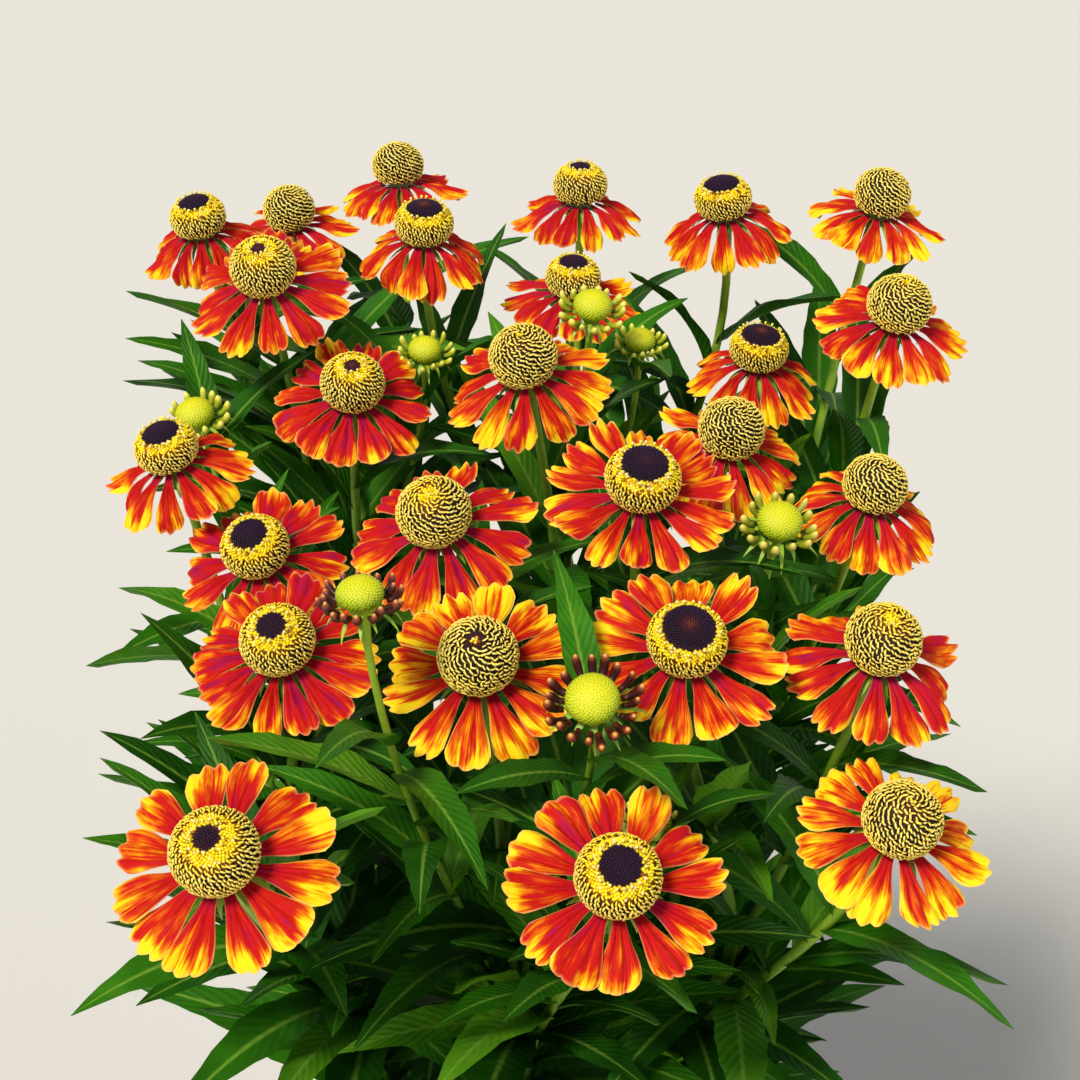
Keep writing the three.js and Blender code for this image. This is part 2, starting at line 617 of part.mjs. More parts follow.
const group = new THREE.Group();
function piece(name, geometry, finish) {
  const mesh = new THREE.Mesh(geometry, new THREE.MeshStandardMaterial({ metalness: 0, ...finish }));
  mesh.name = name;
  group.add(mesh);
  return mesh;
}

const stems = plantPlan();
piece("pot", geometryOf(potSolid()), colours.pot);
piece("potting_soil", geometryOf(soilSolid(stems)), colours.soil);
stems.forEach((one, s) => piece(`leafy_stem_${s + 1}`, geometryOf(stemSolid(one)), colours.stem));
heads.forEach((head, i) => {
  const number = String(i + 1).padStart(2, "0");
  const { frame } = headFrame(head);
  piece(`bloom_${number}_rays`, raysShell(head, i).geometry(), colours.rays).applyMatrix4(frame);
  piece(`bloom_${number}_disc`, discShell(head).geometry(), colours.disc).applyMatrix4(frame);
});

export default group;
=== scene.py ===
# A potted sneezeweed: leafy stems in a plain clay pot, with red and gold daisy heads round globes of florets,
# and lime buds between them. The sums are in millimetres, and each mesh is made in metres.
from functools import partial
from math import asin, atan2, ceil, comb, cos, hypot, pi, radians, sin, sqrt, tan
import bpy
import numpy as np
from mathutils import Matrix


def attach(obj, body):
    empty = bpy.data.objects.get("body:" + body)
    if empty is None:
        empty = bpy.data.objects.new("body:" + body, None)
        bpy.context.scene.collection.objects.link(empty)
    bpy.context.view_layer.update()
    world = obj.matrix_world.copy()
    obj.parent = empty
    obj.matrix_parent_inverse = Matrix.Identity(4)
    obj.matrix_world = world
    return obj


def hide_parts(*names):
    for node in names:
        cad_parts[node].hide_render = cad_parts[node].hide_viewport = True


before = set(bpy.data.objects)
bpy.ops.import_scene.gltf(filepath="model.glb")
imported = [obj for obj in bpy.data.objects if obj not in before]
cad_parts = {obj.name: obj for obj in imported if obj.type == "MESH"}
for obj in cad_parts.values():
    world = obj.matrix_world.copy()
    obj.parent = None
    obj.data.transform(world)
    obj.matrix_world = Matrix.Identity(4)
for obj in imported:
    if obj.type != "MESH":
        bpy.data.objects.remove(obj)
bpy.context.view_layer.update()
print("packed frame loaded")

metre = 0.001
goldenTurn = pi * (3 - sqrt(5))
pole = np.array([0.0, 0.0, 1.0])


class Plan(dict):  # a dictionary whose values are also read as plan.key
    __getattr__ = dict.__getitem__


# The heads stand where a viewer in front of the pot sees them: u to the right and v down in pixels of a
# 1080 pixel view, and rise above or below the crown's mean height.
eye = Plan(pitch=36, distance=682, focal=2250, centre=540, imageWide=1080, sensor=36)
crown = Plan(y=-54, z=610)
pitch = radians(eye.pitch)
viewer = np.array([0, crown.y - eye.distance * cos(pitch), crown.z + eye.distance * sin(pitch)])

# wide is the head's span, lean its tilt to the front and roll its tilt to the right in degrees, droop how far
# the rays hang, age 0 in bud and 1 with every floret open, and gold how yellow the rays are. top is the rust
# blush on a young disc's cap, or how golden an open disc's crown is, or -1 for a dusky heart in it.
headFields = ("u", "v", "rise", "wide", "lean", "roll", "droop", "rays", "age", "stem", "gold", "top")
headRows = (
    (222, 865, -16, 63, 24, -6, 8, 12, 0.78, 0, 0.42, 0),
    (615, 888, -20, 60, 25, 4, 3, 12, 0.62, 1, 0.28, 0),
    (893, 836, -30, 58, 16, 10, 20, 12, 1, 2, 0.8, 0.3),
    (284, 655, -14, 58, 20, -8, 13, 14, 0.7, 0, 0.14, 0),
    (481, 671, -4, 60, 24, -4, 14, 12, 1, 1, 0.68, -1),
    (684, 655, 2, 59, 20, 3, 6, 12, 0.45, 2, 0.46, 0.9),
    (876, 660, -8, 58, 10, 8, 28, 12, 0.95, 2, 0.22, 0.8),
    (262, 562, -16, 56, 18, -10, 14, 12, 0.58, 0, 0.12, 0),
    (440, 530, 6, 59, 18, -10, 21, 12, 0.95, 1, 0.16, 0.9),
    (640, 497, 14, 60, 14, 4, 8, 14, 0.5, 2, 0.4, 0.15),
    (174, 466, 0, 53, 5, -12, 34, 12, 0.52, 0, 0.45, 0),
    (868, 505, -8, 54, 5, 10, 32, 12, 0.9, 3, 0.35, 0),
    (353, 400, -2, 56, 16, 3, 14, 12, 0.82, 4, 0.12, 0.6),
    (527, 376, 16, 58, 14, -8, 27, 12, 1, 5, 0.5, 0.3),
    (727, 448, -8, 57, 12, 6, 25, 12, 1, 3, 0.6, 0),
    (893, 325, 14, 57, 8, 8, 25, 12, 0.97, 3, 0.4, 0.4),
    (267, 285, 26, 58, 18, -4, 22, 12, 0.85, 4, 0.18, 0.5),
    (572, 296, -6, 52, 2, 2, 22, 12, 0.6, 5, 0.2, 0),
    (756, 367, -14, 54, 3, 4, 38, 12, 0.45, 3, 0.5, 0.8),
    (203, 236, 16, 52, 2, -8, 40, 12, 0.55, 4, 0.3, 0),
    (292, 228, -12, 52, 4, -4, 24, 12, 1, 4, 0.45, 0.1),
    (424, 243, 22, 54, 2, 2, 40, 12, 0.5, 5, 0.45, 0.8),
    (580, 205, 0, 54, -6, 0, 34, 12, 0.7, 5, 0.2, 0),
    (725, 218, 18, 54, 0, -8, 40, 12, 0.5, 5, 0.4, 0),
    (876, 215, 14, 54, 0, 10, 26, 12, 1, 3, 0.7, 0),
    (400, 186, -4, 52, -8, -4, 28, 12, 1, 4, 0.25, 0),
)
heads = [Plan(zip(headFields, row)) for row in headRows]
# Buds: wide is the dome's span, nubs the number of still rolled rays round it, and dark 1 for maroon ones.
budFields = ("u", "v", "rise", "wide", "lean", "roll", "nubs", "stem", "dark")
budRows = (
    (425, 355, 0, 13, 6, 0, 8, 4, 0), (197, 420, -10, 15, 8, -10, 8, 0, 0),
    (592, 312, 20, 15, 10, 4, 8, 5, 0), (778, 528, 4, 16, 12, 6, 8, 2, 0.25),
    (361, 603, 33, 15, -6, -4, 10, 1, 1), (593, 705, 10, 17, 22, -4, 10, 1, 1),
    (652, 828, -30, 12, 10, 6, 8, 1, 0), (640, 345, -2, 12, 4, 0, 8, 5, 0),
)
buds = [Plan(zip(budFields, row)) for row in budRows]


# Small helpers

def spread(n):  # a fixed draw from 0 to 1 for each number
    s = np.sin(np.asarray(n, float) * 12.9898) * 43758.5453
    return s - np.floor(s)


def unit(v):
    return v / np.linalg.norm(v, axis=-1, keepdims=True)


def mix(a, b, t):
    return a + (b - a) * t


def smooth(t):  # 0 to 1 with level ends: 3 t^2 - 2 t^3
    t = np.clip(t, 0, 1)
    return t * t * (3 - 2 * t)


def turnsOf(sides):  # the turns of a ring's corners
    return 2 * pi * np.arange(sides) / sides


def spokeAt(turn):  # a unit arrow that points outwards at each turn round Z
    return np.stack([np.cos(turn), np.sin(turn), 0 * turn], -1)


def curveAt(ends, t):  # a Bezier curve: the sum of binomial(n, k) (1 - t)^(n - k) t^k ends[k]
    t = np.atleast_1d(t)[:, None]
    n = len(ends) - 1
    return sum(comb(n, k) * (1 - t) ** (n - k) * t ** k * ends[k] for k in range(n + 1))


def curveSlope(ends, t):  # the curve's direction, from the differences of its ends
    return unit(curveAt(np.diff(ends, axis=0), t))


def arcAt(start, bend, long, t):  # how far out and up an evenly bent arc gets, and its angle there
    angle = start + bend * long * t
    return (np.sin(angle) - sin(start)) / bend, (np.cos(angle) - cos(start)) / bend, angle


def marksOf(along=0.0, across=0.0, chance=0.0, tone=0.0):  # what the materials read at each point
    return np.stack(np.broadcast_arrays(along, across, chance, tone), -1)


# Surfaces: each is a grid of points worked out as whole arrays, with rows of four corners for its faces. A
# triangle repeats its last corner.

def gridFaces(rows, cols, closed=False):
    i, j = np.meshgrid(np.arange(rows - 1), np.arange(cols if closed else cols - 1), indexing="ij")
    k = (j + 1) % cols
    return np.stack([i * cols + j, (i + 1) * cols + j, (i + 1) * cols + k, i * cols + k], -1).reshape(-1, 4)


def sheetOf(top, under):  # two skins with a shared border: the under skin's inner points lie below the top's
    rows, cols = top.shape[:2]
    lower = np.arange(rows * cols).reshape(rows, cols)
    lower[1:-1, 1:-1] = rows * cols + np.arange((rows - 2) * (cols - 2)).reshape(rows - 2, cols - 2)
    points = np.concatenate([top.reshape(-1, top.shape[-1]), under[1:-1, 1:-1].reshape(-1, under.shape[-1])])
    quads = gridFaces(rows, cols)
    return points, np.concatenate([quads, lower.ravel()[quads][:, ::-1]])


def ringsOf(centres, along, radii, sides, lobes=0, depth=0.0):
    # point = centre + radius (1 + depth cos(lobes turn)) (across cos turn + over sin turn), where across is
    # square to Y and to the path, and over is square to both
    across = unit(np.cross((0.0, 1.0, 0.0), along))
    over = np.cross(along, across)
    turn = turnsOf(sides)
    size = (radii[:, None] * (1 + depth * np.cos(lobes * turn)))[..., None]
    spoke = across[:, None] * np.cos(turn)[:, None] + over[:, None] * np.sin(turn)[:, None]
    return centres[:, None] + size * spoke


def tubeOf(rings, tips=None):  # rings of a closed body, with a point at each end
    count, sides = rings.shape[:2]
    tips = rings[[0, -1]].mean(axis=1) if tips is None else tips
    here = np.arange(sides)
    ahead = (here + 1) % sides
    first, last = np.full(sides, count * sides), np.full(sides, count * sides + 1)
    base = (count - 1) * sides
    faces = [gridFaces(count, sides, True)[:, ::-1], np.stack([ahead, here, first, first], 1),
             np.stack([base + here, base + ahead, last, last], 1)]
    return np.concatenate([rings.reshape(-1, 3), tips]), np.concatenate(faces)


class Growth:
    # Gathers surfaces, each with its finish and its marks, and makes one mesh of them.
    def __init__(self):
        self.points, self.marks, self.faces, self.finishes = [], [], [], []
        self.total = 0

    def add(self, points, faces, marks, finish):
        self.marks.append(np.broadcast_to(marks, points.shape[:-1] + (4,)).reshape(-1, 4))
        self.points.append(points.reshape(-1, 3))
        self.faces.append(faces + self.total)
        self.finishes.append(np.full(len(faces), finish))
        self.total += len(self.points[-1])

    def tube(self, rings, finish, **marks):  # a mark is a value, or one for each ring and each end
        sides = rings.shape[1]
        for key, value in marks.items():
            if isinstance(value, tuple):
                marks[key] = np.append(np.repeat(value[0], sides), value[1])
        self.add(*tubeOf(rings), marksOf(**marks), finish)

    def sheet(self, top, under, marks, underMarks, finish):
        points, faces = sheetOf(top, under)
        self.add(points, faces, sheetOf(marks, underMarks)[0], finish)

    def scatter(self, shape, at, axes, marks, finish):
        # each copy's points = its place + the shape's points in its own three axes
        points, faces = shape
        placed = at[:, None] + np.einsum("kc,ncd->nkd", points, axes)
        steps = np.arange(len(at))[:, None, None] * len(points)
        self.add(placed, (faces[None] + steps).reshape(-1, 4), marks, finish)

    def mesh(self, name, axes=np.eye(3), origin=np.zeros(3), crease=180):
        points = np.concatenate(self.points) @ axes + origin
        faces = np.concatenate(self.faces)
        kept = np.ones(faces.shape, bool)
        kept[:, 3] = faces[:, 2] != faces[:, 3]
        corners = kept.sum(axis=1)
        mesh = bpy.data.meshes.new(name)
        mesh.vertices.add(len(points))
        mesh.vertices.foreach_set("co", (points * metre).astype(np.float32).ravel())
        mesh.loops.add(int(corners.sum()))
        mesh.loops.foreach_set("vertex_index", faces[kept].astype(np.int32))
        mesh.polygons.add(len(faces))
        mesh.polygons.foreach_set("loop_start", (np.cumsum(corners) - corners).astype(np.int32))
        mesh.polygons.foreach_set("material_index", np.concatenate(self.finishes).astype(np.int32))
        mesh.polygons.foreach_set("use_smooth", np.ones(len(faces), bool))
        place = mesh.attributes.new("place", "FLOAT_COLOR", "POINT")
        place.data.foreach_set("color", np.concatenate(self.marks).astype(np.float32).ravel())
        mesh.update(calc_edges=True)
        mesh.set_sharp_from_angle(angle=radians(crease))
        return mesh


def addObject(name, data):
    thing = bpy.data.objects.new(name, data)
    bpy.context.scene.collection.objects.link(thing)
    return thing


pieces = []


def makePiece(mesh, materials, slot, *nodes):
    piece = addObject(mesh.name, mesh)
    for material in materials:
        mesh.materials.append(material)
    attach(piece, "root")
    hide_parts(*nodes)
    pieces.append(piece)
    return piece


# Materials

def linear(hexColour):  # sRGB hex to linear light
    parts = [int(hexColour[i:i + 2], 16) / 255 for i in (1, 3, 5)]
    return [p / 12.92 if p <= 0.04045 else ((p + 0.055) / 1.055) ** 2.4 for p in parts] + [1]


def setInput(node, key, value):  # to a number, a colour, a socket, or a node, which gives its first output
    value = value.outputs[0] if isinstance(value, bpy.types.Node) else value
    if isinstance(value, bpy.types.NodeSocket):
        node.id_data.links.new(value, node.inputs[key])
    else:
        node.inputs[key].default_value = linear(value) if isinstance(value, str) else value


def addNode(tree, kind, *values, stops=(), **more):
    # adds a node with its inputs, in order or by name, its settings and its ramp's stops. A kind in capitals
    # is the operation of a Math node.
    node = tree.nodes.new("ShaderNode" + ("Math" if kind.isupper() else kind))
    if kind.isupper():
        node.operation = kind
    for index, (at, colour) in enumerate(dict(stops).items()):
        ramp = node.color_ramp.elements
        stop = ramp[index] if index < 2 else ramp.new(at)
        stop.position, stop.color = at, linear(colour)
    for key, value in [*enumerate(values), *more.items()]:
        if isinstance(key, str) and hasattr(node, key):
            setattr(node, key, value)
        else:
            setInput(node, key, value)
    return node


def newMaterial(name, recipe):  # a recipe gives colour and roughness, and where it matters specular and bump
    material = bpy.data.materials.new(name)
    material.use_nodes = True
    tree = material.node_tree
    add = partial(addNode, tree)
    mark = add("Attribute", attribute_name="place")
    along, across, chance = add("SeparateXYZ", mark.outputs["Vector"]).outputs
    at = Plan(along=along, across=across, chance=chance, tone=mark.outputs["Alpha"],
              place=add("TexCoord").outputs["Object"])
    for key, value in zip(("Base Color", "Roughness", "Specular IOR Level", "Normal"), recipe(add, at)):
        setInput(tree.nodes["Principled BSDF"], key, value)
    return material


# Ray floret tissue: thin velvety petals, grown flat with lengthwise veins. The eye gets magenta at the foot,
# vivid red over the blade, flames of orange and yellow towards the tip, and a pale thin rim that is a painted
# highlight. The fold valleys are painted redder, a painted shade in the creases.
def rayTissue(add, at):
    # a ray is 6 mm to a side and 24 mm long: flames are 3.5 by 13 mm, and fine streaks 0.7 mm wide
    spot = add("CombineXYZ", at.across, at.along, add("MULTIPLY", at.chance, 71))
    flame = add("TexNoise", add("Mapping", spot, Scale=(1.7, 1.9, 1)), Scale=1, Detail=3)
    streak = add("TexNoise", add("Mapping", spot, Scale=(8.5, 1.6, 1)), Scale=1, Detail=3)
    outer = add("MULTIPLY_ADD", add("POWER", at.along, 2.3), 0.5, -0.04)
    golden = add("MULTIPLY_ADD", at.tone, 0.66, -0.25)
    further = add("MULTIPLY_ADD", at.along, 0.75, 0.25)
    goldenOuter = add("MULTIPLY_ADD", golden, further, outer)
    flameSize = add("MULTIPLY_ADD", at.along, 2.5, 0.1)
    flamed = add("MULTIPLY_ADD", add("ADD", flame, -0.5), flameSize, goldenOuter)
    streaked = add("MULTIPLY_ADD", streak, 0.7, flamed)
    # red veins 1.8 mm apart run on into the gold; the two fold valleys that end in the notches are painted
    # redder still, a painted shade in the creases
    line = add("MapRange", add("COSINE", add("MULTIPLY", at.across, 21)), 0.5, 1, 0, 0.25)
    # painted shade: the troughs of the ridge fold, cos(3 pi w), turn redder
    creaseShade = add("COSINE", add("MULTIPLY", at.across, 3 * pi))
    veinLinesAndCreaseShade = add("ADD", line, add("MapRange", creaseShade, -1, -0.6, 0.24, 0))
    broken = add("MapRange", streak, 0.36, 0.6, 1, 0)
    veinsAndCreaseShade = add("MULTIPLY", veinLinesAndCreaseShade, add("MULTIPLY", broken, further))
    sides = add("MULTIPLY", add("MULTIPLY", at.across, at.across), at.along)
    footed = add("ADD", add("MapRange", at.along, 0, 0.38, -0.2, 0.02), streaked)
    total = add("SUBTRACT", add("MULTIPLY_ADD", sides, 0.17, footed), veinsAndCreaseShade)
    colour = add("ValToRGB", total, stops={
        0: "#980e48", 1: "#ffda1c", 0.1: "#b0143c", 0.2: "#bc1220", 0.46: "#c01a0c", 0.56: "#ca3e0a",
        0.64: "#d65e08", 0.74: "#e28208", 0.83: "#f0a20a", 0.9: "#fac40e"})
    # a paler rim 0.5 mm wide: a painted highlight along the sides and the tip
    side = add("MapRange", add("ABSOLUTE", at.across), 0.9, 1, 0, 0.5)
    rim = add("MAXIMUM", side, add("MapRange", at.along, 0.95, 1, 0, 0.45))
    # painted highlight: the rim is mixed towards pale peach
    withPaintedRimHighlight = add("MixRGB", rim, colour, "#ffc07c")
    # the veins are sunk, and softened by the streaks
    relief = add("MULTIPLY_ADD", streak, 3, line)
    bump = add("Bump", Height=relief, Distance=0.00015, Strength=0.9)
    return withPaintedRimHighlight, 0.6, 0.1, bump


# Disc ground: the dark scales between the florets, dry and matt. It gives the near black gaps, which turn
# rust brown where the florets have only just opened.
def discGround(add, at):
    grain = add("TexNoise", at.place, Scale=900, Detail=2)
    old = add("ValToRGB", grain, stops={0.35: "#0a0402", 0.7: "#261204"})
    new = add("ValToRGB", grain, stops={0.35: "#5a2206", 0.7: "#a0560a"})
    return add("MixRGB", at.tone, old, new), 0.85


# Style arms: the curled, waxy threads of the open florets. The old ones are cream on top and golden down
# their sides, and the new ones bright yellow. The paler crest is partly a painted highlight.
def styleArms(add, at):
    # colour by height on each thread: darker feet, golden walls, and a crest paler still, partly a painted
    # highlight
    height = add("MULTIPLY_ADD", at.chance, 0.2, at.along)
    old = add("ValToRGB", height, stops={0.1: "#7a4a04", 1: "#ffeb7c", 0.4: "#e6ac04", 0.85: "#fcd614"})
    new = add("ValToRGB", height, stops={0.1: "#a85c04", 1: "#ffe83c", 0.4: "#eab004", 0.75: "#fbd408"})
    return add("MixRGB", at.tone, old, new), 0.5, 0.12


# Pollen: loose bright grains on the anthers, fully matt. It gives the yellow band and the pale fringe, and
# each grain's foot is painted darker ochre, a painted shade between the grains.
def pollenGrains(add, at):
    colour = add("ValToRGB", at.chance, stops={
        0.02: "#8a4a06", 1: "#ffe6a8", 0.07: "#eabc00", 0.3: "#f6dc04", 0.85: "#fae81c"})
    # painted shade: the lowest part of each grain is mixed towards dark ochre
    depth = add("MapRange", at.along, 0, 0.3, 0.35, 0)
    return add("MixRGB", depth, colour, "#b87c00"), 0.8


# Closed florets: the tight velvet knobs of a young disc's cap. Deep purple, and on some heads with a rust
# blush at the crown. Each knob is painted paler purple towards its top, a painted highlight.
def closedFlorets(add, at):
    rust = add("ValToRGB", at.across, stops={
        0.02: "#8e4022", 0.3: "#1c0c26", 0.1: "#5c221e", 0.18: "#341022"})
    plum = add("ValToRGB", at.across, stops={0: "#2e1030", 0.4: "#180a22"})
    # painted highlight: the upper part of each knob is mixed towards a paler purple
    knob = add("MapRange", at.along, 0.2, 1, 0, 0.35)
    light = add("MixRGB", knob, add("MixRGB", at.tone, plum, rust), "#562a5a")
    return light, 0.45, 0.3


# Leaf blade: a thin waxy cuticle over mesophyll, with a pale midrib and sunk side veins.
def leafBlade(add, at):
    far = add("ABSOLUTE", at.across)
    # side veins leave the midrib every 7 mm and sweep forward: a leaf is about 120 mm long
    sweep = add("MULTIPLY_ADD", far, -0.16, at.along)
    vein = add("SINE", add("MULTIPLY", sweep, 100))
    mottle = add("TexNoise", at.place, Scale=55, Detail=4)
    green = add("ValToRGB", add("MULTIPLY_ADD", mottle, 0.55, at.tone), stops={
        0.1: "#0f3206", 1: "#649c1e", 0.4: "#1a4a08", 0.7: "#30700c"})
    ribbed = add("MixRGB", add("MapRange", far, 0.03, 0.14, 0.6, 0), green, "#7fa83a")
    relief = add("MULTIPLY_ADD", mottle, 2, vein)
    return ribbed, 0.5, 0.12, add("Bump", Height=relief, Distance=0.0002, Strength=0.45)


# Stem skin: firm ribbed green stalk, lighter towards the heads.
def stemSkin(add, at):
    grain = add("TexNoise", at.place, Scale=260, Detail=3)
    green = add("ValToRGB", add("MULTIPLY_ADD", grain, 0.3, at.along), stops={
        0.1: "#2f4a14", 1.1: "#96b82c", 0.5: "#4a7418", 0.8: "#729c20"})
    return green, 0.5, 0.5, add("Bump", Height=grain, Distance=0.0003, Strength=0.5)


# Bud dome: closed lime florets, with a painted highlight that makes each floret pale lemon at its top.
def budFlorets(add, at):
    green = add("ValToRGB", at.across, stops={0: "#dcd608", 1: "#8aa80a", 0.6: "#c0c808"})
    # painted highlight on the top of each floret
    return add("MixRGB", add("MapRange", at.along, 0.1, 1, 0, 0.7), green, "#e8ec1c"), 0.5


# Rolled rays of a bud: short clubs, maroon or lime, with amber tips.
def rolledRays(add, at):
    dark = add("ValToRGB", at.along, stops={
        0: "#5a2a0c", 1: "#f2ac58", 0.25: "#2e0a0e", 0.74: "#4a1210", 0.9: "#8a3c18"})
    pale = add("ValToRGB", at.along, stops={0: "#6d8c14", 1: "#f4ee70", 0.6: "#b4b81c"})
    return add("MixRGB", at.tone, pale, dark), 0.45


# Terracotta: fired, unglazed clay, thrown on a wheel. It gives a warm matt orange with faint turning lines,
# specks of grog, and a pale bloom of salts where the damp dries out.
def terracottaClay(add, at):
    cloud = add("TexNoise", at.place, Scale=16, Detail=7, Roughness=0.62)
    # turning lines 2 mm apart, and a clay grain of 0.5 mm
    lines = add("TexNoise", add("Mapping", at.place, Scale=(5, 5, 170)), Scale=3, Detail=2)
    grain = add("TexNoise", at.place, Scale=1800, Detail=2)
    clay = add("ValToRGB", add("MULTIPLY_ADD", lines, 0.2, cloud), stops={
        0.36: "#9c4a28", 0.85: "#d28a5e", 0.52: "#b45e36", 0.68: "#c37047"})
    speck = add("TexVoronoi", at.place, Scale=260)  # grog 1 mm wide, 4 mm apart
    grog = add("MapRange", speck.outputs["Distance"], 0.1, 0.2, 0.3, 0)
    # the bloom lies in patches of 30 mm, most of it low on the wall
    patch = add("TexNoise", at.place, Scale=34, Detail=8, Roughness=0.7)
    low = add("MapRange", add("SeparateXYZ", at.place).outputs[2], 0, 0.07, 0.14, 0)
    bloom = add("MapRange", add("ADD", patch, low), 0.56, 0.72, 0, 0.42)
    salted = add("MixRGB", bloom, add("MixRGB", grog, clay, "#70371f"), "#dcc0a8")
    relief = add("MULTIPLY_ADD", lines, 1.2, grain)
    return salted, 0.85, 0.25, add("Bump", Height=relief, Distance=0.0004, Strength=0.6)


# Compost: damp crumbled peat and bark, dark and matt with paler fibres.
def dampCompost(add, at):
    crumb = add("TexNoise", at.place, Scale=420, Detail=5)
    colour = add("ValToRGB", crumb, stops={0.3: "#150d08", 0.85: "#7a5a3c", 0.52: "#33221a", 0.66: "#4b3424"})
    return colour, 0.95, 0.5, add("Bump", Height=crumb, Distance=0.0012, Strength=0.8)


# Studio paper: pale, seamless and matt, so that it gives a quiet ground.
def studioPaper(add, at):
    return "#d2d1cd", 0.9


rayFinish = [newMaterial("ray_floret_tissue", rayTissue)]
discFinish = [newMaterial("disc_ground_scales", discGround), newMaterial("style_arm_wax", styleArms),
              newMaterial("pollen_grains", pollenGrains), newMaterial("closed_floret_velvet", closedFlorets)]
greenFinish = [newMaterial("stem_skin", stemSkin), newMaterial("leaf_cuticle", leafBlade),
               newMaterial("bud_floret_skin", budFlorets), newMaterial("rolled_ray_skin", rolledRays)]
potFinish = [newMaterial("fired_terracotta", terracottaClay)]
soilFinish = [newMaterial("damp_compost", dampCompost)]
print("materials made")


# The plan of the plant

pot = Plan(
    height=200, rimRadius=125, rimHeight=38, rimProud=7, rimTaper=3, footRadius=84, wall=8, floor=10,
    drains=3, drainRadius=6, drainRing=46, sides=128, fillet=2.2, rimFillet=3.2, filletSteps=5)
soil = Plan(
    belowRim=26, dome=9, gap=0.35, holeDepth=26, sides=144, rings=44, swell=1.3, crumbs=1500,
    crumbSize=(0.7, 2.3))
stem = Plan(
    count=6, footRing=40, footRadius=4.2, topRadius=2.5, crotchHeight=468, crotchReach=0.92, bendHeight=330,
    bendReach=1.25, firstBranch=0.66, lastBranch=0.97, berth=3, marks=20, sides=12, rings=30, flutes=4,
    fluteDepth=0.09)
stalk = Plan(
    berth=2, marks=10, radius=1.9, rootShare=0.9, neck=1.5, calyx=5.2, calyxLong=6, budCalyx=0.32,
    budSlim=0.72, leave=0.35, arrive=0.4, middle=0.5, sides=8, rings=18, headDepth=4)
leaf = Plan(
    perStem=13, lowest=0.1, highest=0.91, low=104, mid=132, high=82, longestAt=0.45, broad=0.25, slender=0.21,
    inner=0.66, shortest=0.9, longest=1.08, turn=137.508, sweep=128, rise=52, riseSpread=14, arch=58,
    archSpread=30, fold=0.2, tries=21, step=17, spare=0.92, apart=1.5, berth=5, probes=10, grid=(23, 7),
    thick=0.7, foot=1.3, toothDeep=0.07, wave=1.8, twist=26, widest=0.68, fullness=0.82)
stalkLeaf = Plan(long=52, shortest=0.8, longest=1.15, slender=0.2, rise=48, arch=50, wander=170)
# More small leaves, which only the looks need: they fill the gaps up to the heads, and are shorter higher up.
fill = Plan(
    perStalk=20, stalkFrom=0.04, stalkTo=0.95, perStem=40, stemFrom=0.2, stemTo=0.99, long=(92, 54),
    longSpread=0.3, slender=0.2, rise=(34, 78), arch=(20, 60), berth=3, spare=0.6, apart=0.8, view=0.42,
    grid=(15, 5), flatness=1.6, steepest=38, within=(149, 206))


def onSight(head):
    tall, flat = sin(pitch), cos(pitch)
    across = (head.u - eye.centre) / eye.focal
    down = (head.v - eye.centre) / eye.focal
    reach = (eye.distance * tall - head.rise) / (tall + down * flat)
    back = (flat - down * tall) * reach - eye.distance * flat
    return np.array([across * reach, back + crown.y, crown.z + head.rise])


def headFace(head):
    lean, roll = radians(head.lean), radians(head.roll)
    return unit(np.array([tan(roll), -tan(lean), 1.0]))


def headAxes(head):  # the head's own X, Y and Z as rows: Z is its face, and it is turned at random about it
    face = headFace(head)
    side = unit(np.cross((0.0, 1.0, 0.0), face))
    over = np.cross(face, side)
    turn = 2 * pi * spread(head.u + head.v)
    return np.stack([side * cos(turn) + over * sin(turn),
                     over * cos(turn) - side * sin(turn), face])


def soilTop(x, y):
    share = np.hypot(x, y) / (pot.rimRadius - pot.wall)
    return pot.height - soil.belowRim + soil.dome * (1 - share * share)


def stemCurve(s):  # from its foot in the soil towards the middle of its heads
    middle = np.mean([onSight(h) for h in heads if h.stem == s], axis=0)
    out = atan2(middle[1], middle[0])
    x, y = cos(out) * stem.footRing, sin(out) * stem.footRing
    foot = (x, y, soilTop(x, y) - soil.holeDepth + 1)
    bend = (x * stem.bendReach, y * stem.bendReach, stem.bendHeight)
    return np.array([foot, bend, (*middle[:2] * stem.crotchReach, stem.crotchHeight)]), out


def stalkCurve(head, ends, t):  # leaves its stem at share t and arrives square under its head
    start, to = curveAt(ends, t)[0], onSight(head)
    length = np.linalg.norm(to - start)
    leaving = start + curveSlope(ends, t)[0] * length * stalk.leave
    arriving = to - headFace(head) * length * stalk.arrive
    return np.array([start, leaving, arriving, to])


def midrib(plan, t):  # an arc: it starts at an angle above the horizontal and bends down evenly
    bend = -radians(plan.arch) / plan.long
    flat, down, angle = (part[:, None] for part in arcAt(radians(plan.rise), bend, plan.long, t))
    spoke = spokeAt(plan.out)
    return plan.root + spoke * flat - pole * down, spoke * np.cos(angle) + pole * np.sin(angle)


everyHead = heads + buds
headAt = np.array([onSight(h) for h in everyHead])
headSight = unit(viewer - headAt)
headView = np.array([h.wide for h in everyHead]) * fill.view
headFlat = np.array([headFace(h) * max(1 - h.droop / fill.steepest, 0) for h in heads])


def hidesHead(at):  # whether a point stands between the viewer and a head
    away = at[:, None] - headAt
    along = (away * headSight).sum(axis=2)
    beside = np.linalg.norm(away - along[..., None] * headSight, axis=2)
    return ((along > 0) & (beside < headView)).any()


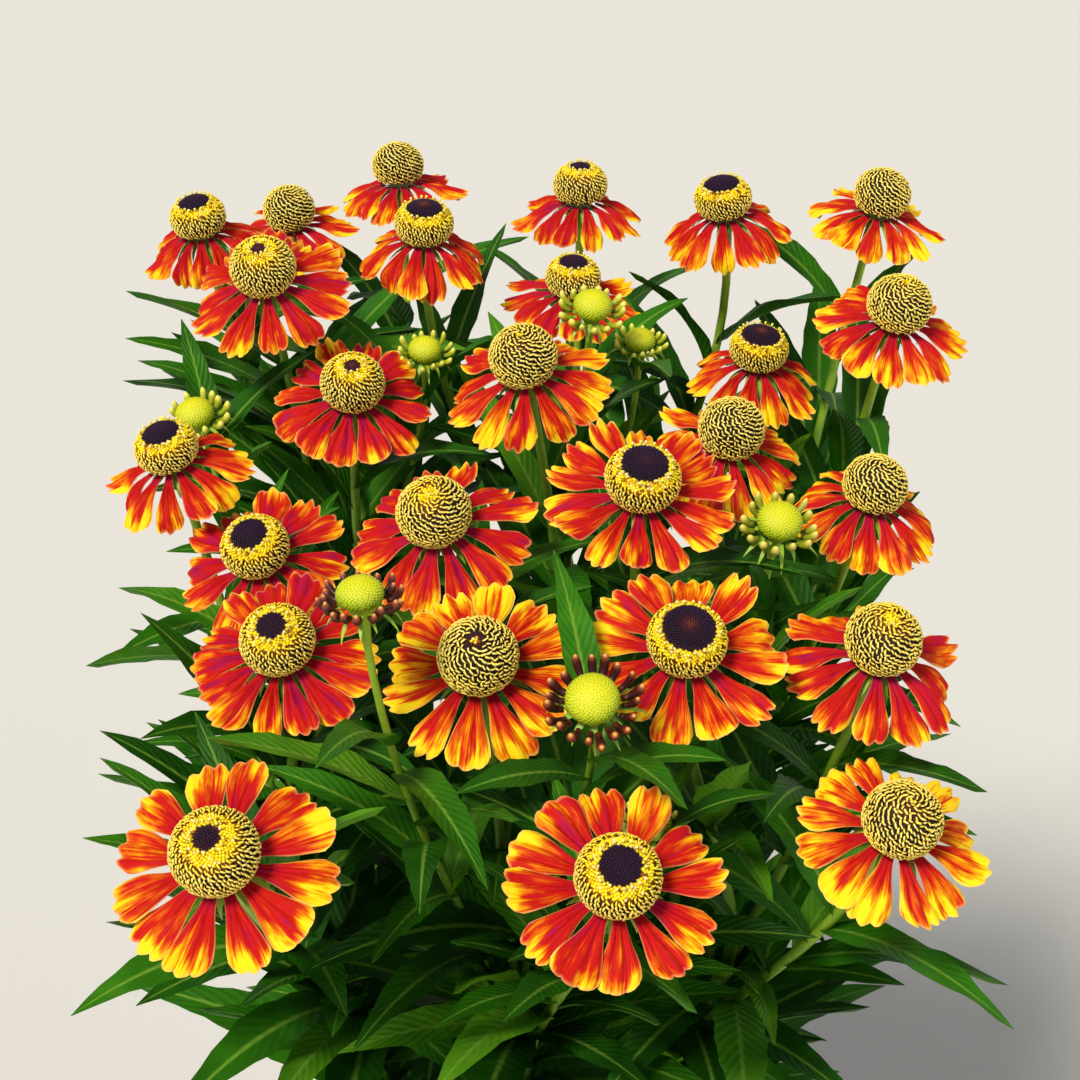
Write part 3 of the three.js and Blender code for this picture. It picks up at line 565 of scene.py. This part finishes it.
def placeLeaf(plan, standing, filling=False):  # turned a little at a time until it clears what stands already
    rules = fill if filling else leaf
    t = np.arange(1, leaf.probes + 1) / leaf.probes
    half = np.sin(pi * t ** 0.8).clip(0) ** 0.9 * plan.long * plan.slender / 2
    radius = np.maximum(half, rules.berth)
    spare = np.where(filling & (standing.own >= 0), fill.spare, leaf.spare)
    for k in range(leaf.tries):
        turn = (1 if k % 2 else -1) * ceil(k / 2) * leaf.step
        tried = Plan(plan, out=plan.out + radians(turn))
        at = midrib(tried, t)[0]
        away = at[:, None] - standing.at
        gap = np.linalg.norm(away, axis=2)
        if filling:  # a head is flat, so a leaf may pass closer below it, unless its rays hang
            below = (away[:, :len(heads)] * headFlat).sum(axis=2) * fill.flatness
            gap[:, :len(heads)] = np.hypot(gap[:, :len(heads)], below)
        near = gap < (radius[:, None] + standing.radius) * spare + rules.apart
        near[0] &= standing.own != plan.own
        outside = (np.abs(at[:, :2]) > fill.within).any()
        if not near.any() and not (filling and (outside or hidesHead(at))):
            for key, value in (("at", at), ("radius", radius), ("own", np.full(len(t), plan.own))):
                standing[key] = np.concatenate([standing[key], value])
            return tried
    return None


def branchedStem(s):  # the heads and buds that reach furthest leave the stem lowest
    ends, out = stemCurve(s)
    carried = [h for h in everyHead if h.stem == s]
    carried.sort(key=lambda h: -hypot(*(onSight(h) - ends[-1])[:2]))
    branchAt = np.linspace(stem.firstBranch, stem.lastBranch, len(carried))
    stalks = [Plan(head=head, ends=stalkCurve(head, ends, t)) for head, t in zip(carried, branchAt)]
    return Plan(ends=ends, out=out, stalks=stalks)


def standingMarks(stems):  # what the leaves have to clear: the heads, the stems and their stalks
    at = [onSight(h) - headFace(h) * stalk.headDepth for h in heads]
    radius = [h.wide / 2 for h in heads]
    own = [-1] * len(heads)
    for s, one in enumerate(stems):
        curves = [(one.ends, stem, 0)] + [(each.ends, stalk, 2) for each in one.stalks]
        for ends, plan, first in curves:
            along = curveAt(ends, np.arange(first, plan.marks + 1) / plan.marks)
            at.extend(along)
            radius.extend([plan.berth] * len(along))
            own.extend([s] * len(along))
    return Plan(at=np.array(at), radius=np.array(radius, float), own=np.array(own))


def stemLeaf(one, s, i):  # the leaves wind up the stem, and those that point outwards are the longest
    share = i / (leaf.perStem - 1)
    turn = ((i * leaf.turn + (360 / stem.count) * s) % 360) / 360
    away = (turn * 2 - 1) * leaf.sweep
    swell = sin(pi * min(1, share * 0.5 / leaf.longestAt))
    middle = leaf.mid - (leaf.low + leaf.high) / 2
    ground = mix(leaf.low, leaf.high, share) + middle * swell
    inward = mix(1, leaf.inner, (abs(away) / leaf.sweep) ** 2)
    size = mix(leaf.shortest, leaf.longest, spread(31 * s + i))
    return Plan(root=curveAt(one.ends, mix(leaf.lowest, leaf.highest, share))[0],
                out=one.out + radians(away), long=ground * inward * size, own=s, grid=leaf.grid,
                slender=mix(leaf.broad, leaf.slender, share),
                rise=leaf.rise + leaf.riseSpread * (spread(17 * s + i + 5) - 0.5),
                arch=leaf.arch + leaf.archSpread * (spread(13 * s + i + 9) - 0.5))


def branchLeaf(each, s, i):  # the small leaf half way up a stalk
    root = curveAt(each.ends, stalk.middle)[0]
    wander = radians(stalkLeaf.wander) * (spread(11 * s + i + 3) - 0.5)
    size = mix(stalkLeaf.shortest, stalkLeaf.longest, spread(5 * s + i + 2))
    return Plan(stalkLeaf, root=root, out=atan2(root[1], root[0]) + wander, own=s, grid=leaf.grid,
                long=stalkLeaf.long * size)


def fillLeaf(ends, t, share, s, key):
    chance = spread(key * 7.3 + np.arange(4))
    size = 1 + fill.longSpread * (chance[1] - 0.5)
    return Plan(fill, root=curveAt(ends, t)[0], out=(key * goldenTurn + chance[0]) % (2 * pi),
                long=mix(*fill.long, share) * size, rise=mix(*fill.rise, chance[2]),
                arch=mix(*fill.arch, chance[3]), own=s)


def plantPlan():
    stems = [branchedStem(s) for s in range(stem.count)]
    standing = standingMarks(stems)

    def placed(wanted, filling=False):
        return [made for made in (placeLeaf(plan, standing, filling) for plan in wanted) if made]

    for s, one in enumerate(stems):
        wanted = [stemLeaf(one, s, i) for i in range(leaf.perStem)]
        one["leaves"] = placed(wanted + [branchLeaf(each, s, i) for i, each in enumerate(one.stalks)])
    onStalk = np.linspace(fill.stalkFrom, fill.stalkTo, fill.perStalk)
    onStem = np.linspace(fill.stemFrom, fill.stemTo, fill.perStem)
    for s, one in enumerate(stems):
        wanted = [fillLeaf(one.ends, t, 0.5 * t, s, 300 * s + n) for n, t in enumerate(onStem)]
        wanted += [fillLeaf(each.ends, t, t, s, 300 * s + 50 + 24 * i + n)
                   for i, each in enumerate(one.stalks) for n, t in enumerate(onStalk)]
        one["fill"] = placed(wanted, True)
    return stems


stems = plantPlan()
print("plan:", sum(len(one.leaves) for one in stems), "leaves and",
      sum(len(one.fill) for one in stems), "small ones more")


def forEachHead(build, name, materials, slot, node, crease=180):  # one piece a head, in the head's own axes
    for index, head in enumerate(heads):
        growth = Growth()
        build(growth, index, head)
        number = f"{index + 1:02d}"
        mesh = growth.mesh(f"{name}_{number}", headAxes(head), onSight(head), crease)
        makePiece(mesh, materials, slot, f"bloom_{number}_{node}")


# The rays

ray = Plan(
    whorl=6.5, thick=2.0, midAt=0.7, fullness=0.97, stagger=4.5, jitter=3, lengthSpread=0.1, firstDroop=0.3,
    firstLift=5, bendDroop=1.5, bendBase=3, headSpan=60, headGap=0.3, rows=15,
    columns=(0, 0.12, 0.23, 0.333, 0.44, 0.56, 0.72, 0.88, 1), notch=0.047, notchSpread=1.6, shoulder=0.21,
    foot=0.24, broadAt=0.88, swell=2.2, wider=(0.94, 1.2), ridge=0.7, edgeDrop=1.1, wave=0.6, flutter=0.5,
    curl=2.6, curlFrom=0.62, twist=18, sway=2.4, skin=0.4, underGold=0.18, goldSpread=0.36)


def raySheet(growth, head, index, j):
    # Each line along the ray, s = t reach(w), runs from the foot to the tip, which is round with scallops of
    # 1 - |cos(1.5 pi w)|. The middle line is an arc in the plane through the head's axis. A point lies beside
    # it by w half width(s), and above it by ridges cos(3 pi w), less the fallen edges w^2, plus waves, a curl
    # of the tip and a twist.
    draw = spread(index * 97 + j * 7 + np.arange(16)) - 0.5
    droop = head.droop + (1 if j % 2 else -1) * ray.stagger + ray.jitter * draw[1]
    span = head.wide / ray.headSpan
    long = (ray.headSpan / 2 - ray.whorl) * span * (1 + ray.lengthSpread * draw[2])
    start = radians(droop * ray.firstDroop - ray.firstLift)
    bend = radians(droop * ray.bendDroop + ray.bendBase) / long
    whorl = ray.whorl * span
    midOut = whorl + arcAt(start, bend, long, ray.midAt)[0]
    half = midOut * tan(pi / head.rays) * ray.fullness * mix(*ray.wider, draw[3] + 0.5)

    columns = np.array(ray.columns)
    t, w = np.meshgrid(np.linspace(0, 1, ray.rows), np.concatenate([-columns[:0:-1], columns]),
                       indexing="ij")
    notch = ray.notch * (1 + ray.notchSpread * draw[4]) * (1 - np.abs(np.cos(1.5 * pi * w)))
    s = t * (1 - notch - ray.shoulder * (1 - np.sqrt(1 - 0.96 * w * w)))
    rise = np.sin(pi / 2 * np.clip(s / ray.broadAt, 0, 1)) ** ray.swell
    wide = half * mix(ray.foot, 1, rise)
    out, up, slope = arcAt(start, bend, long, s)
    lift = ray.ridge * np.cos(3 * pi * w) * smooth(s * 2.2)
    lift -= ray.edgeDrop * (0.7 + draw[5]) * w * w * smooth(s * 1.6)
    lift += ray.wave * np.sin(2 * pi * (1.5 * s + draw[6])) * w * s
    lift += ray.flutter * np.sin(2 * pi * (2.1 * s + 0.6 * w + draw[7])) * w ** 2 * s
    lift += ray.curl * 2 * draw[8] * np.clip((s - ray.curlFrom) / (1 - ray.curlFrom), 0, 1) ** 2
    lift += w * wide * np.sin(radians(ray.twist) * 2 * draw[9] * s)
    side = (w * wide + ray.sway * 2 * draw[10] * s * s)[..., None]
    spoke = spokeAt(2 * pi * (j + 0.5) / head.rays)
    beside = np.cross(pole, spoke)

    def skin(drop):
        far = whorl + out + (lift - drop) * np.sin(slope)
        high = ray.headGap + ray.thick / 2 + up + (lift - drop) * np.cos(slope)
        return spoke * far[..., None] + beside * side + pole * high[..., None]

    gold = head.gold + ray.goldSpread * draw[11]
    chance = spread(index * 31 + j)
    growth.sheet(skin(0.0), skin(ray.skin), marksOf(t, w, chance, gold),
                 marksOf(t, w, chance, gold + ray.underGold), 0)


def rayWhorl(growth, index, head):
    for j in range(head.rays):
        raySheet(growth, head, index, j)


forEachHead(rayWhorl, "petals", rayFinish, "ray_florets", "rays", crease=80)
print("rays made:", len(heads), "whorls")


# The discs

# each set has its spacing and its florets' sizes: an arm's half length, half width, height and depth, and a
# knob's half width and height
disc = Plan(
    radius=11.7, footShare=0.62, young=0.74, ripening=0.18, low=2.6, sunk=1.05, groundSides=36,
    groundRings=15, capAt=0.78, capBase=19, capGrowth=82, openAge=0.89, band=22, knob=(0.74, 0.42, 0.42),
    grain=(0.95, 0.66, 0.75), fringe=(2.0, 0.5, 1.7), arm=(1.46, 1.06, 0.29, 0.9, 0.68), armTurn=(52, 44),
    skirtTurn=(24, 30), anyTurn=(0, 180), last=122, goldenTop=34, goldenSkirt=22, heart=15, pollenTop=19)


def shapeMade(rings, tips, tall):  # a floret's points and faces, and each point's share of its height
    points, faces = tubeOf(rings, np.array(tips))
    return points, faces, np.clip(points[:, 2] / tall, 0, 1)


def threadShape(long, thin, tall, deep):
    # a bowed thread from foot to foot, with a flat crest and two walls that meet below it: the black ground
    # shows between the threads from above, and only their walls from the side
    share = np.array([0.55, -0.55])
    turn = turnsOf(3) - pi / 2
    centres = np.stack([share * long, 0.5 * long * share ** 2, np.full(2, tall - deep / 3)], -1)
    ring = np.stack([0 * turn, np.cos(turn) * thin, np.sin(turn) * deep * 2 / 3], -1)
    tips = [[long, 0.5 * long, 0.1 * tall], [-long, 0.5 * long, 0.1 * tall]]
    return shapeMade(centres[:, None] + ring, tips, tall)


def knobShape(wide, tall, sides=5):  # two cones foot to foot, as a knob half sunk in the disc
    return shapeMade(spokeAt(turnsOf(sides))[None] * wide, [[0, 0, -0.4 * tall], [0, 0, tall]], tall)


def beadShape(wide, tall, sides=5):  # a round head on a thin foot
    spoke = spokeAt(turnsOf(sides))
    rings = np.stack([spoke * wide * r + pole * (tall + wide * z) for r, z in ((0.85, -1.5), (0.95, -0.6))])
    return shapeMade(rings, [[0, 0, -0.2 * tall], [0, 0, tall]], tall)


def onDisc(shape, polar, turn):  # a point of a squashed globe, with its normal and its way down
    radius, tall, middle = shape
    flat, up = np.sin(polar)[..., None], np.cos(polar)[..., None]
    spoke = spokeAt(turn)
    at = spoke * (flat * radius) + pole * (middle + up * tall)
    normal = unit(spoke * (flat / radius) + pole * (up / tall))
    return at, normal, unit(spoke * (up * radius) - pole * (flat * tall))


def globeRings(shape, polar, sides):  # the rings of the globe under the florets
    return onDisc(shape, *np.meshgrid(polar, turnsOf(sides), indexing="ij"))[0]


def turnedAxes(normal, down, angle):  # three rows for each copy: its own X, turned from down, its Y and its Z
    around = np.cross(normal, down)
    x = down * np.cos(angle)[:, None] + around * np.sin(angle)[:, None]
    return np.stack([x, np.cross(normal, x), normal], axis=1)


def coverDisc(growth, shape, made, spacing, first, last, seed, finish, tone=0.0, size=0.16, turned="anyTurn"):
    # florets on a golden-angle spiral over the globe, kept between two angles, turned and sized at random
    count = int(4 * pi * shape[0] ** 2 / (0.866 * spacing ** 2))
    polar = np.arccos(1 - 2 * (np.arange(count) + 0.5) / count)
    i = np.flatnonzero((polar >= radians(first)) & (polar < radians(last)))
    if len(i) == 0:
        return
    polar = polar[i]
    draw = spread(seed * 3.7 + i[:, None] * 1.31 + np.arange(4) * 17.7)
    turn = i * goldenTurn % (2 * pi) + (draw[:, 0] - 0.5) * 0.35 * spacing / shape[0]
    at, normal, down = onDisc(shape, polar, turn)
    angle, wander = np.radians(disc[turned])
    axes = turnedAxes(normal, down, angle + wander * 2 * (draw[:, 1] - 0.5))
    axes = axes * (1 + size * 2 * (draw[:, 2:3, None] - 0.5))
    *florets, height = made
    tones = np.broadcast_to(tone(np.degrees(polar), draw[:, 3]) if callable(tone) else tone, polar.shape)
    marks = marksOf(height[None, :], np.degrees(polar)[:, None] / 90, draw[:, 3:4], tones[:, None])
    growth.scatter(florets, at, axes, marks, finish)


def fringeRing(growth, shape, cap, index):  # pale anthers stand up round the cap's border
    spacing, wide, high = disc.fringe
    count = max(9, int(2 * pi * shape[0] * sin(radians(cap + 3)) / spacing))
    i = np.arange(count)
    draw = spread(index * 5.1 + i[:, None] * 2.17 + np.arange(3) * 9.1)
    polar = np.radians(cap + 3 + 5 * (draw[:, 0] - 0.5))
    turn = 2 * pi * (i + 0.5 * draw[:, 1]) / count
    at, normal, down = onDisc(shape, polar, turn)
    *anther, height = beadShape(wide, high)
    marks = marksOf(0.3 + 0.7 * height[None, :], 0.0, 0.86 + 0.14 * draw[:, 2:3], 0.0)
    growth.scatter(anther, at, turnedAxes(normal, down, draw[:, 1]), marks, 2)


def bloomDisc(growth, index, head):
    radius = disc.radius * head.wide / ray.headSpan
    tall = radius * (disc.young + disc.ripening * head.age)
    shape = (radius - disc.sunk, tall - disc.sunk, disc.low + tall * disc.footShare)
    young = head.age < disc.openAge
    crownGold = max(head.top, 0)
    cap = max(disc.capBase + (disc.capAt - head.age) * disc.capGrowth, 9) if young else 0
    band = cap + disc.band if young else 0

    def golden(angle, chance):  # the florets under the band are new, and so may an open disc's crown be
        skirt = disc.goldenSkirt
        if young:
            return smooth((band + skirt - angle) / skirt + 0.3 * (chance - 0.5))
        return crownGold * smooth(1.5 - angle / disc.goldenTop + 0.5 * (chance - 0.5))

    def cover(kind, first, last, seed, finish, **more):
        spacing, *sizes = disc[kind]
        made = threadShape(*sizes) if kind == "arm" else knobShape(*sizes)
        coverDisc(growth, shape, made, spacing, first, last, index + seed, finish, **more)

    polar = np.linspace(pi / 2 + asin(disc.footShare), 0.02, disc.groundRings)
    angle = np.degrees(polar)
    new = golden(angle, 0.5) * (angle > cap)
    growth.tube(globeRings(shape, polar, disc.groundSides), 0, tone=(new, new[[0, -1]]))
    if young:
        cover("knob", 0, cap, 0, 3, tone=head.top, size=0.08)
        cover("grain", cap, band, 40, 2, size=0.25)
        fringeRing(growth, shape, cap, index)
        cover("arm", band, disc.last, 80, 1, tone=golden, turned="skirtTurn")
    else:
        heart = disc.heart if head.top < 0 else 0  # some have a dusky heart with a yellow middle
        cover("knob", heart * 0.45, heart, 0, 3, tone=1.0, size=0.2)
        cover("grain", 0, heart * 0.45, 0, 2)
        powdered = disc.pollenTop * crownGold  # a golden crown is deep in pollen
        cover("grain", 0, powdered, 40, 2, size=0.25)
        cover("arm", max(heart, powdered), disc.last, 80, 1, tone=golden, size=0.22, turned="armTurn")


forEachHead(bloomDisc, "florets", discFinish, "disc_florets", "disc")
print("discs made:", len(heads))


# Stems, stalks, leaves, bracts and buds

bract = Plan(count=15, budCount=12, long=12, wide=2.3, start=8, bend=60, rows=6, cols=3, thick=0.35)
bud = Plan(
    low=-0.75, tall=0.8, sunk=1.2, slim=0.84, flat=0.74, sides=32, rings=10, knobSpacing=1.05,
    knob=(0.54, 0.4), knobsTo=118, clubsPerNub=1.9, clubLong=0.43, clubLow=98, clubHigh=8, clubSpread=26,
    clubRadius=0.07, clubSides=7, clubRings=8)


def leafSheet(growth, plan, key):
    # The blade follows its midrib's arc. Half width = half sin(pi t^p)^q, cut by small teeth, with the sides
    # raised by the fold, waved along the edge, and the whole turned slowly round the midrib.
    rows, cols = plan.grid
    draw = spread(key * 1.7 + np.arange(6))
    t = np.linspace(0, 1, rows)
    at, along = midrib(plan, t)
    side = np.array([-sin(plan.out), cos(plan.out), 0.0])
    over = np.cross(along, side)
    turn = radians(leaf.twist) * 2 * (draw[0] - 0.5) * t
    across = side * np.cos(turn)[:, None] + over * np.sin(turn)[:, None]
    lifted = np.cross(along, across)[:, None]
    half = plan.long * plan.slender / 2
    broad = half * np.sin(pi * t ** leaf.widest).clip(0) ** leaf.fullness
    broad = np.maximum(broad, leaf.foot * (1 - t) ** 0.5 + 0.12)
    w = np.linspace(-1, 1, cols)
    tooth = 1 - leaf.toothDeep * (np.arange(rows) % 2) * (t > 0.1) * (t < 0.95)
    reach = w * broad[:, None] * np.where(np.abs(w) > 0.99, tooth[:, None], 1)
    wave = leaf.wave * np.sin(2 * pi * (2.3 * t + draw[1])) * np.sin(pi * t) * half / 14
    lift = np.abs(reach) * leaf.fold * (0.6 + draw[2]) + wave[:, None] * w * np.abs(w)
    top = at[:, None] + across[:, None] * reach[..., None] + lifted * lift[..., None]
    rib = leaf.thick * (1 + 1.2 * np.exp(-(w / 0.16) ** 2))
    tone = 0.1 + 0.3 * draw[3] + 0.3 * smooth((draw[5] - 0.8) * 8)
    place = marksOf(t[:, None], w, draw[4], tone)
    growth.sheet(top, top - lifted * rib[:, None], place, place + (0, 0, 0, 0.14), 1)


def bractRing(growth, head, radius, high, key, scale, count):
    # Narrow green strips under a head: each bends down on an arc, and tapers to its tip.
    t = np.linspace(0, 1, bract.rows)
    w = np.linspace(-1, 1, bract.cols)
    wide = bract.wide * scale / 2 * (1 - t ** 1.6) + 0.08
    for k in range(count):
        draw = spread(key * 3.1 + k * 1.9 + np.arange(4))
        long = bract.long * scale * mix(0.75, 1.1, draw[1])
        start = radians(bract.start + 20 * (draw[2] - 0.5))
        bend = radians(bract.bend * mix(0.6, 1.25, draw[3])) / long
        out, up, slope = (part[:, None] for part in arcAt(start, bend, long, t))
        spoke = spokeAt(2 * pi * (k + 0.5 * draw[0]) / count)
        centre = spoke * (radius + out) + pole * (high + up)
        top = centre[:, None] + np.cross(pole, spoke) * (wide[:, None] * w)[..., None]
        drop = (spoke * np.sin(slope) + pole * np.cos(slope)) * bract.thick * scale
        points, faces = sheetOf(top, top - drop[:, None])
        place = marksOf(0.75 + 0.2 * t[:, None], w, draw[1], 0.0)
        growth.add(points @ headAxes(head) + onSight(head), faces, sheetOf(place, place)[0], 0)


def stalkTube(growth, head, ends):
    isBud = "nubs" in head
    t = 1 - (1 - np.linspace(0, 1, stalk.rings)) ** 1.35
    centres, along = curveAt(ends, t), curveSlope(ends, t)
    length = np.linalg.norm(np.diff(centres, axis=0), axis=1).sum()
    calyx = head.wide * (stalk.budCalyx if isBud else stalk.calyx / ray.headSpan)
    root = stem.topRadius * stalk.rootShare
    slim = np.interp(t, (0, 0.25, 1), (root, stalk.radius, stalk.neck))
    slim = slim * np.interp(t, (0, 0.3), (1, stalk.budSlim if isBud else 1))
    flare = np.clip(1 - (1 - t) * length / (stalk.calyxLong * 1.4), 0, 1) ** 1.8
    rings = ringsOf(centres, along, mix(slim, calyx, flare), stalk.sides)
    growth.tube(rings, 0, along=(0.35 + 0.5 * t, (0.35, 0.85)))


def budClub(body, head, k, clubs, index):
    # a club leaves the dome's foot outwards and curls up, and swells towards its tip
    draw = spread(index * 23 + k * 1.7 + np.arange(4))
    long = head.wide * bud.clubLong * mix(0.8, 1.2, draw[1])
    t = np.linspace(0, 1, bud.clubRings)
    lean = np.radians(mix(bud.clubLow, bud.clubHigh, t) + bud.clubSpread * (draw[0] - 0.5))
    path = np.stack([np.sin(lean), np.cos(lean)], -1) * (long / (bud.clubRings - 1))
    path = np.cumsum(path, axis=0) + (head.wide * 0.4, 0.9 - bud.sunk)
    spoke = spokeAt(2 * pi * (k + 0.5 + 0.4 * (draw[3] - 0.5)) / clubs)
    along = spoke * np.sin(lean)[:, None] + pole * np.cos(lean)[:, None]
    fat = head.wide * bud.clubRadius * (0.75 + 0.5 * smooth(t * 1.3)) * np.sqrt(1.03 - t ** 4)
    rings = ringsOf(spoke * path[:, :1] + pole * path[:, 1:], along, fat * mix(0.85, 1.15, draw[2]),
                    bud.clubSides)
    body.tube(rings, 3, along=(t, (0, 1)), chance=draw[2], tone=head.dark)


def budHead(growth, head):
    index = buds.index(head)
    radius, tall = head.wide / 2, head.wide * bud.tall
    middle = -tall / 2 * sin(bud.low) - bud.sunk
    shape = (radius * bud.slim, tall / 2 * bud.flat, middle)
    body = Growth()
    polar = np.linspace(pi / 2 - bud.low, 0.03, bud.rings)
    body.tube(globeRings(shape, polar, bud.sides), 2, across=(np.degrees(polar) / 90, (1.4, 0.0)))
    coverDisc(body, shape, knobShape(*bud.knob), bud.knobSpacing, 0, bud.knobsTo, index, 2, size=0.1)
    clubs = int(head.nubs * bud.clubsPerNub)
    for k in range(clubs):
        budClub(body, head, k, clubs, index)
    growth.add(np.concatenate(body.points) @ headAxes(head) + onSight(head), np.concatenate(body.faces),
               np.concatenate(body.marks), np.concatenate(body.finishes))
    bractRing(growth, head, radius * 0.72, 0.4 - bud.sunk, index + 300, head.wide / 22,
              bract.budCount)


def leafyStem(s, one):
    growth = Growth()
    t = np.linspace(0, 1, stem.rings)
    radii = mix(stem.footRadius, stem.topRadius, t)
    rings = ringsOf(curveAt(one.ends, t), curveSlope(one.ends, t), radii, stem.sides,
                    stem.flutes, stem.fluteDepth)
    growth.tube(rings, 0, along=(0.05 + 0.45 * t, (0.05, 0.5)))
    for i, plan in enumerate(one.leaves + one.fill):
        leafSheet(growth, plan, 40 * s + i)
    for i, each in enumerate(one.stalks):
        head = each.head
        stalkTube(growth, head, each.ends)
        if "nubs" in head:
            budHead(growth, head)
        else:
            span = head.wide / ray.headSpan
            bractRing(growth, head, stalk.calyx * span * 0.8, -0.3, s * 31 + i, span, bract.count)
    mesh = growth.mesh(f"leaves_and_stalks_{s + 1}", crease=100)
    makePiece(mesh, greenFinish, "greenery", f"leafy_stem_{s + 1}")


for s, one in enumerate(stems):
    leafyStem(s, one)
print("leafy stems made:", len(stems))


# The pot and its soil

def roundedOutline(corners, steps):
    # Each corner (r, z, fillet) becomes a quadratic curve between the points one fillet before and after it.
    spots = np.array([c[:2] for c in corners], float)
    outline = [spots[:1]]
    for k in range(1, len(corners) - 1):
        before = spots[k] + unit(spots[k - 1] - spots[k]) * corners[k][2]
        after = spots[k] + unit(spots[k + 1] - spots[k]) * corners[k][2]
        outline.append(curveAt(np.array([before, spots[k], after]), np.linspace(0, 1, steps)))
    return np.concatenate(outline + [spots[-1:]])


def lathed(outline, sides):  # turns an outline of (r, z) round the Z axis
    return spokeAt(turnsOf(sides)) * outline[:, :1, None] + pole * outline[:, 1:, None]


def drainCutter():  # a short rod through each drain hole
    growth = Growth()
    rod = lathed(np.array([[pot.drainRadius, -6.0], [pot.drainRadius, 24.0]]), 32)
    for spoke in spokeAt(turnsOf(pot.drains)):
        growth.tube(rod + spoke * pot.drainRing, 0)
    return addObject("drain_cutter", growth.mesh("drain_cutter"))


def clayPot():
    height, rim, wall = pot.height, pot.rimRadius, pot.wall
    foot, proud, fillet = pot.footRadius, pot.rimProud, pot.fillet
    under = rim - pot.rimTaper - proud
    low = height - pot.rimHeight
    lip = pot.rimFillet
    corners = ((0.4, 0, 0), (foot, 0, fillet), (under, low, fillet), (under + proud, low, lip),
               (rim, height, lip), (rim - wall, height, lip), (foot - wall, pot.floor, fillet * 2),
               (0.4, pot.floor, 0))
    growth = Growth()
    growth.tube(lathed(roundedOutline(corners, pot.filletSteps), pot.sides), 0)
    vessel = makePiece(growth.mesh("clay_pot"), potFinish, "terracotta", "pot")
    cutter = drainCutter()
    cut = vessel.modifiers.new("drains", "BOOLEAN")
    cut.operation, cut.object, cut.solver = "DIFFERENCE", cutter, "EXACT"
    cutMesh = bpy.data.meshes.new_from_object(vessel.evaluated_get(bpy.context.evaluated_depsgraph_get()))
    vessel.modifiers.clear()
    vessel.data = cutMesh
    bpy.data.objects.remove(cutter)


def pottingSoil():
    # The top is the soil's dome plus low waves: the sum of crossed sines. Crumbs lie over it at random.
    growth = Growth()
    base = pot.floor + soil.gap
    edge = pot.height - soil.belowRim

    def inside(z):
        share = (z - pot.floor) / (pot.height - pot.floor)
        return mix(pot.footRadius, pot.rimRadius, share) - pot.wall - soil.gap

    radii = inside(edge) * (1 - np.linspace(0, 1, soil.rings) ** 0.9 * 0.995)
    outline = np.concatenate([[[0.4, base], [inside(base), base]], np.stack([radii, soilTop(radii, 0)], -1)])
    rings = lathed(outline, soil.sides)
    x, y = rings[2:, :, 0], rings[2:, :, 1]
    swell = np.sin(x / 7.1 + 1.3) * np.sin(y / 6.3) + 0.6 * np.sin((x + y) / 3.7) * np.sin((x - y) / 4.3 + 2)
    rings[2:, :, 2] += soil.swell * (swell - 1)
    growth.tube(rings, 0)
    draw = spread(np.arange(soil.crumbs)[:, None] * 1.37 + np.arange(6) * 11.3).T
    reach = (inside(edge) - 2.5) * np.sqrt(draw[0])
    at = spokeAt(2 * pi * draw[1]) * reach[:, None] + pole * (soilTop(reach, 0) - 0.4)[:, None]
    normal = unit(np.stack([draw[2] - 0.5, draw[3] - 0.5, 0.6 + 0 * reach], -1))
    size = mix(*soil.crumbSize, draw[4] ** 2)
    axes = turnedAxes(normal, unit(np.cross(normal, (0.3, 0.9, 0.1))), draw[5] * 6)
    axes = axes * (size[:, None, None] * np.array([1.3, 0.9, 0.8])[:, None])
    growth.scatter(knobShape(1.0, 0.9, 6)[:2], at, axes, marksOf(), 0)
    makePiece(growth.mesh("compost"), soilFinish, "compost", "potting_soil")


clayPot()
pottingSoil()
print("pot and soil made")


# Floor, light and camera

def paleFloor():
    mesh = bpy.data.meshes.new("studio_floor")
    reach = 30.0
    mesh.from_pydata([(x * reach, y * reach, -0.0004) for x, y in ((-1, -1), (1, -1), (1, 1), (-1, 1))], [],
                     [(0, 1, 2, 3)])
    mesh.materials.append(newMaterial("matt_paper", studioPaper))
    addObject("studio_floor", mesh)


def softSun(name, place, power, colour, spreadAngle):  # a lamp shines along its own -Z, here to the origin
    light = bpy.data.lights.new(name, "SUN")
    light.energy, light.color, light.angle = power, linear(colour)[:3], radians(spreadAngle)
    lamp = addObject(name, light)
    x, y, z = place
    lamp.location = place
    lamp.rotation_euler = (atan2(hypot(x, y), z), 0, atan2(-y, -x) - pi / 2)


def studio():
    paleFloor()
    world = bpy.data.worlds.new("pale_room")
    bpy.context.scene.world = world
    world.use_nodes = True
    # a tent of light: as pale as the floor at the horizon, and dimmer overhead
    add = partial(addNode, world.node_tree)
    way = add("SeparateXYZ", add("TexCoord").outputs["Generated"]).outputs[2]
    glow = add("ValToRGB", way, stops={0.0: "#e6e2d7", 0.45: "#878889", 0.1: "#d8d7d3"})
    setInput(world.node_tree.nodes["Background"], 0, glow)
    softSun("key_light", (-0.8, -0.9, 1.9), 3.5, "#fff8ec", 16)
    softSun("fill_light", (1.4, -1.0, 0.9), 0.5, "#eaf2ff", 50)
    bpy.context.scene.view_settings.view_transform = "Standard"


def photoCamera():  # stands where the heads were sighted from
    camera = addObject("camera", bpy.data.cameras.new("camera"))
    camera.location = viewer * metre
    camera.rotation_euler = (pi / 2 - pitch, 0, 0)
    camera.data.sensor_width = eye.sensor
    camera.data.lens = eye.focal / eye.imageWide * eye.sensor
    camera.data.clip_start = 0.02
    bpy.context.scene.camera = camera


studio()
photoCamera()

bpy.context.view_layer.update()
triangles = 0
for piece in pieces:
    piece.data.calc_loop_triangles()
    triangles += len(piece.data.loop_triangles)
print("triangles:", triangles, "in", len(pieces), "pieces")
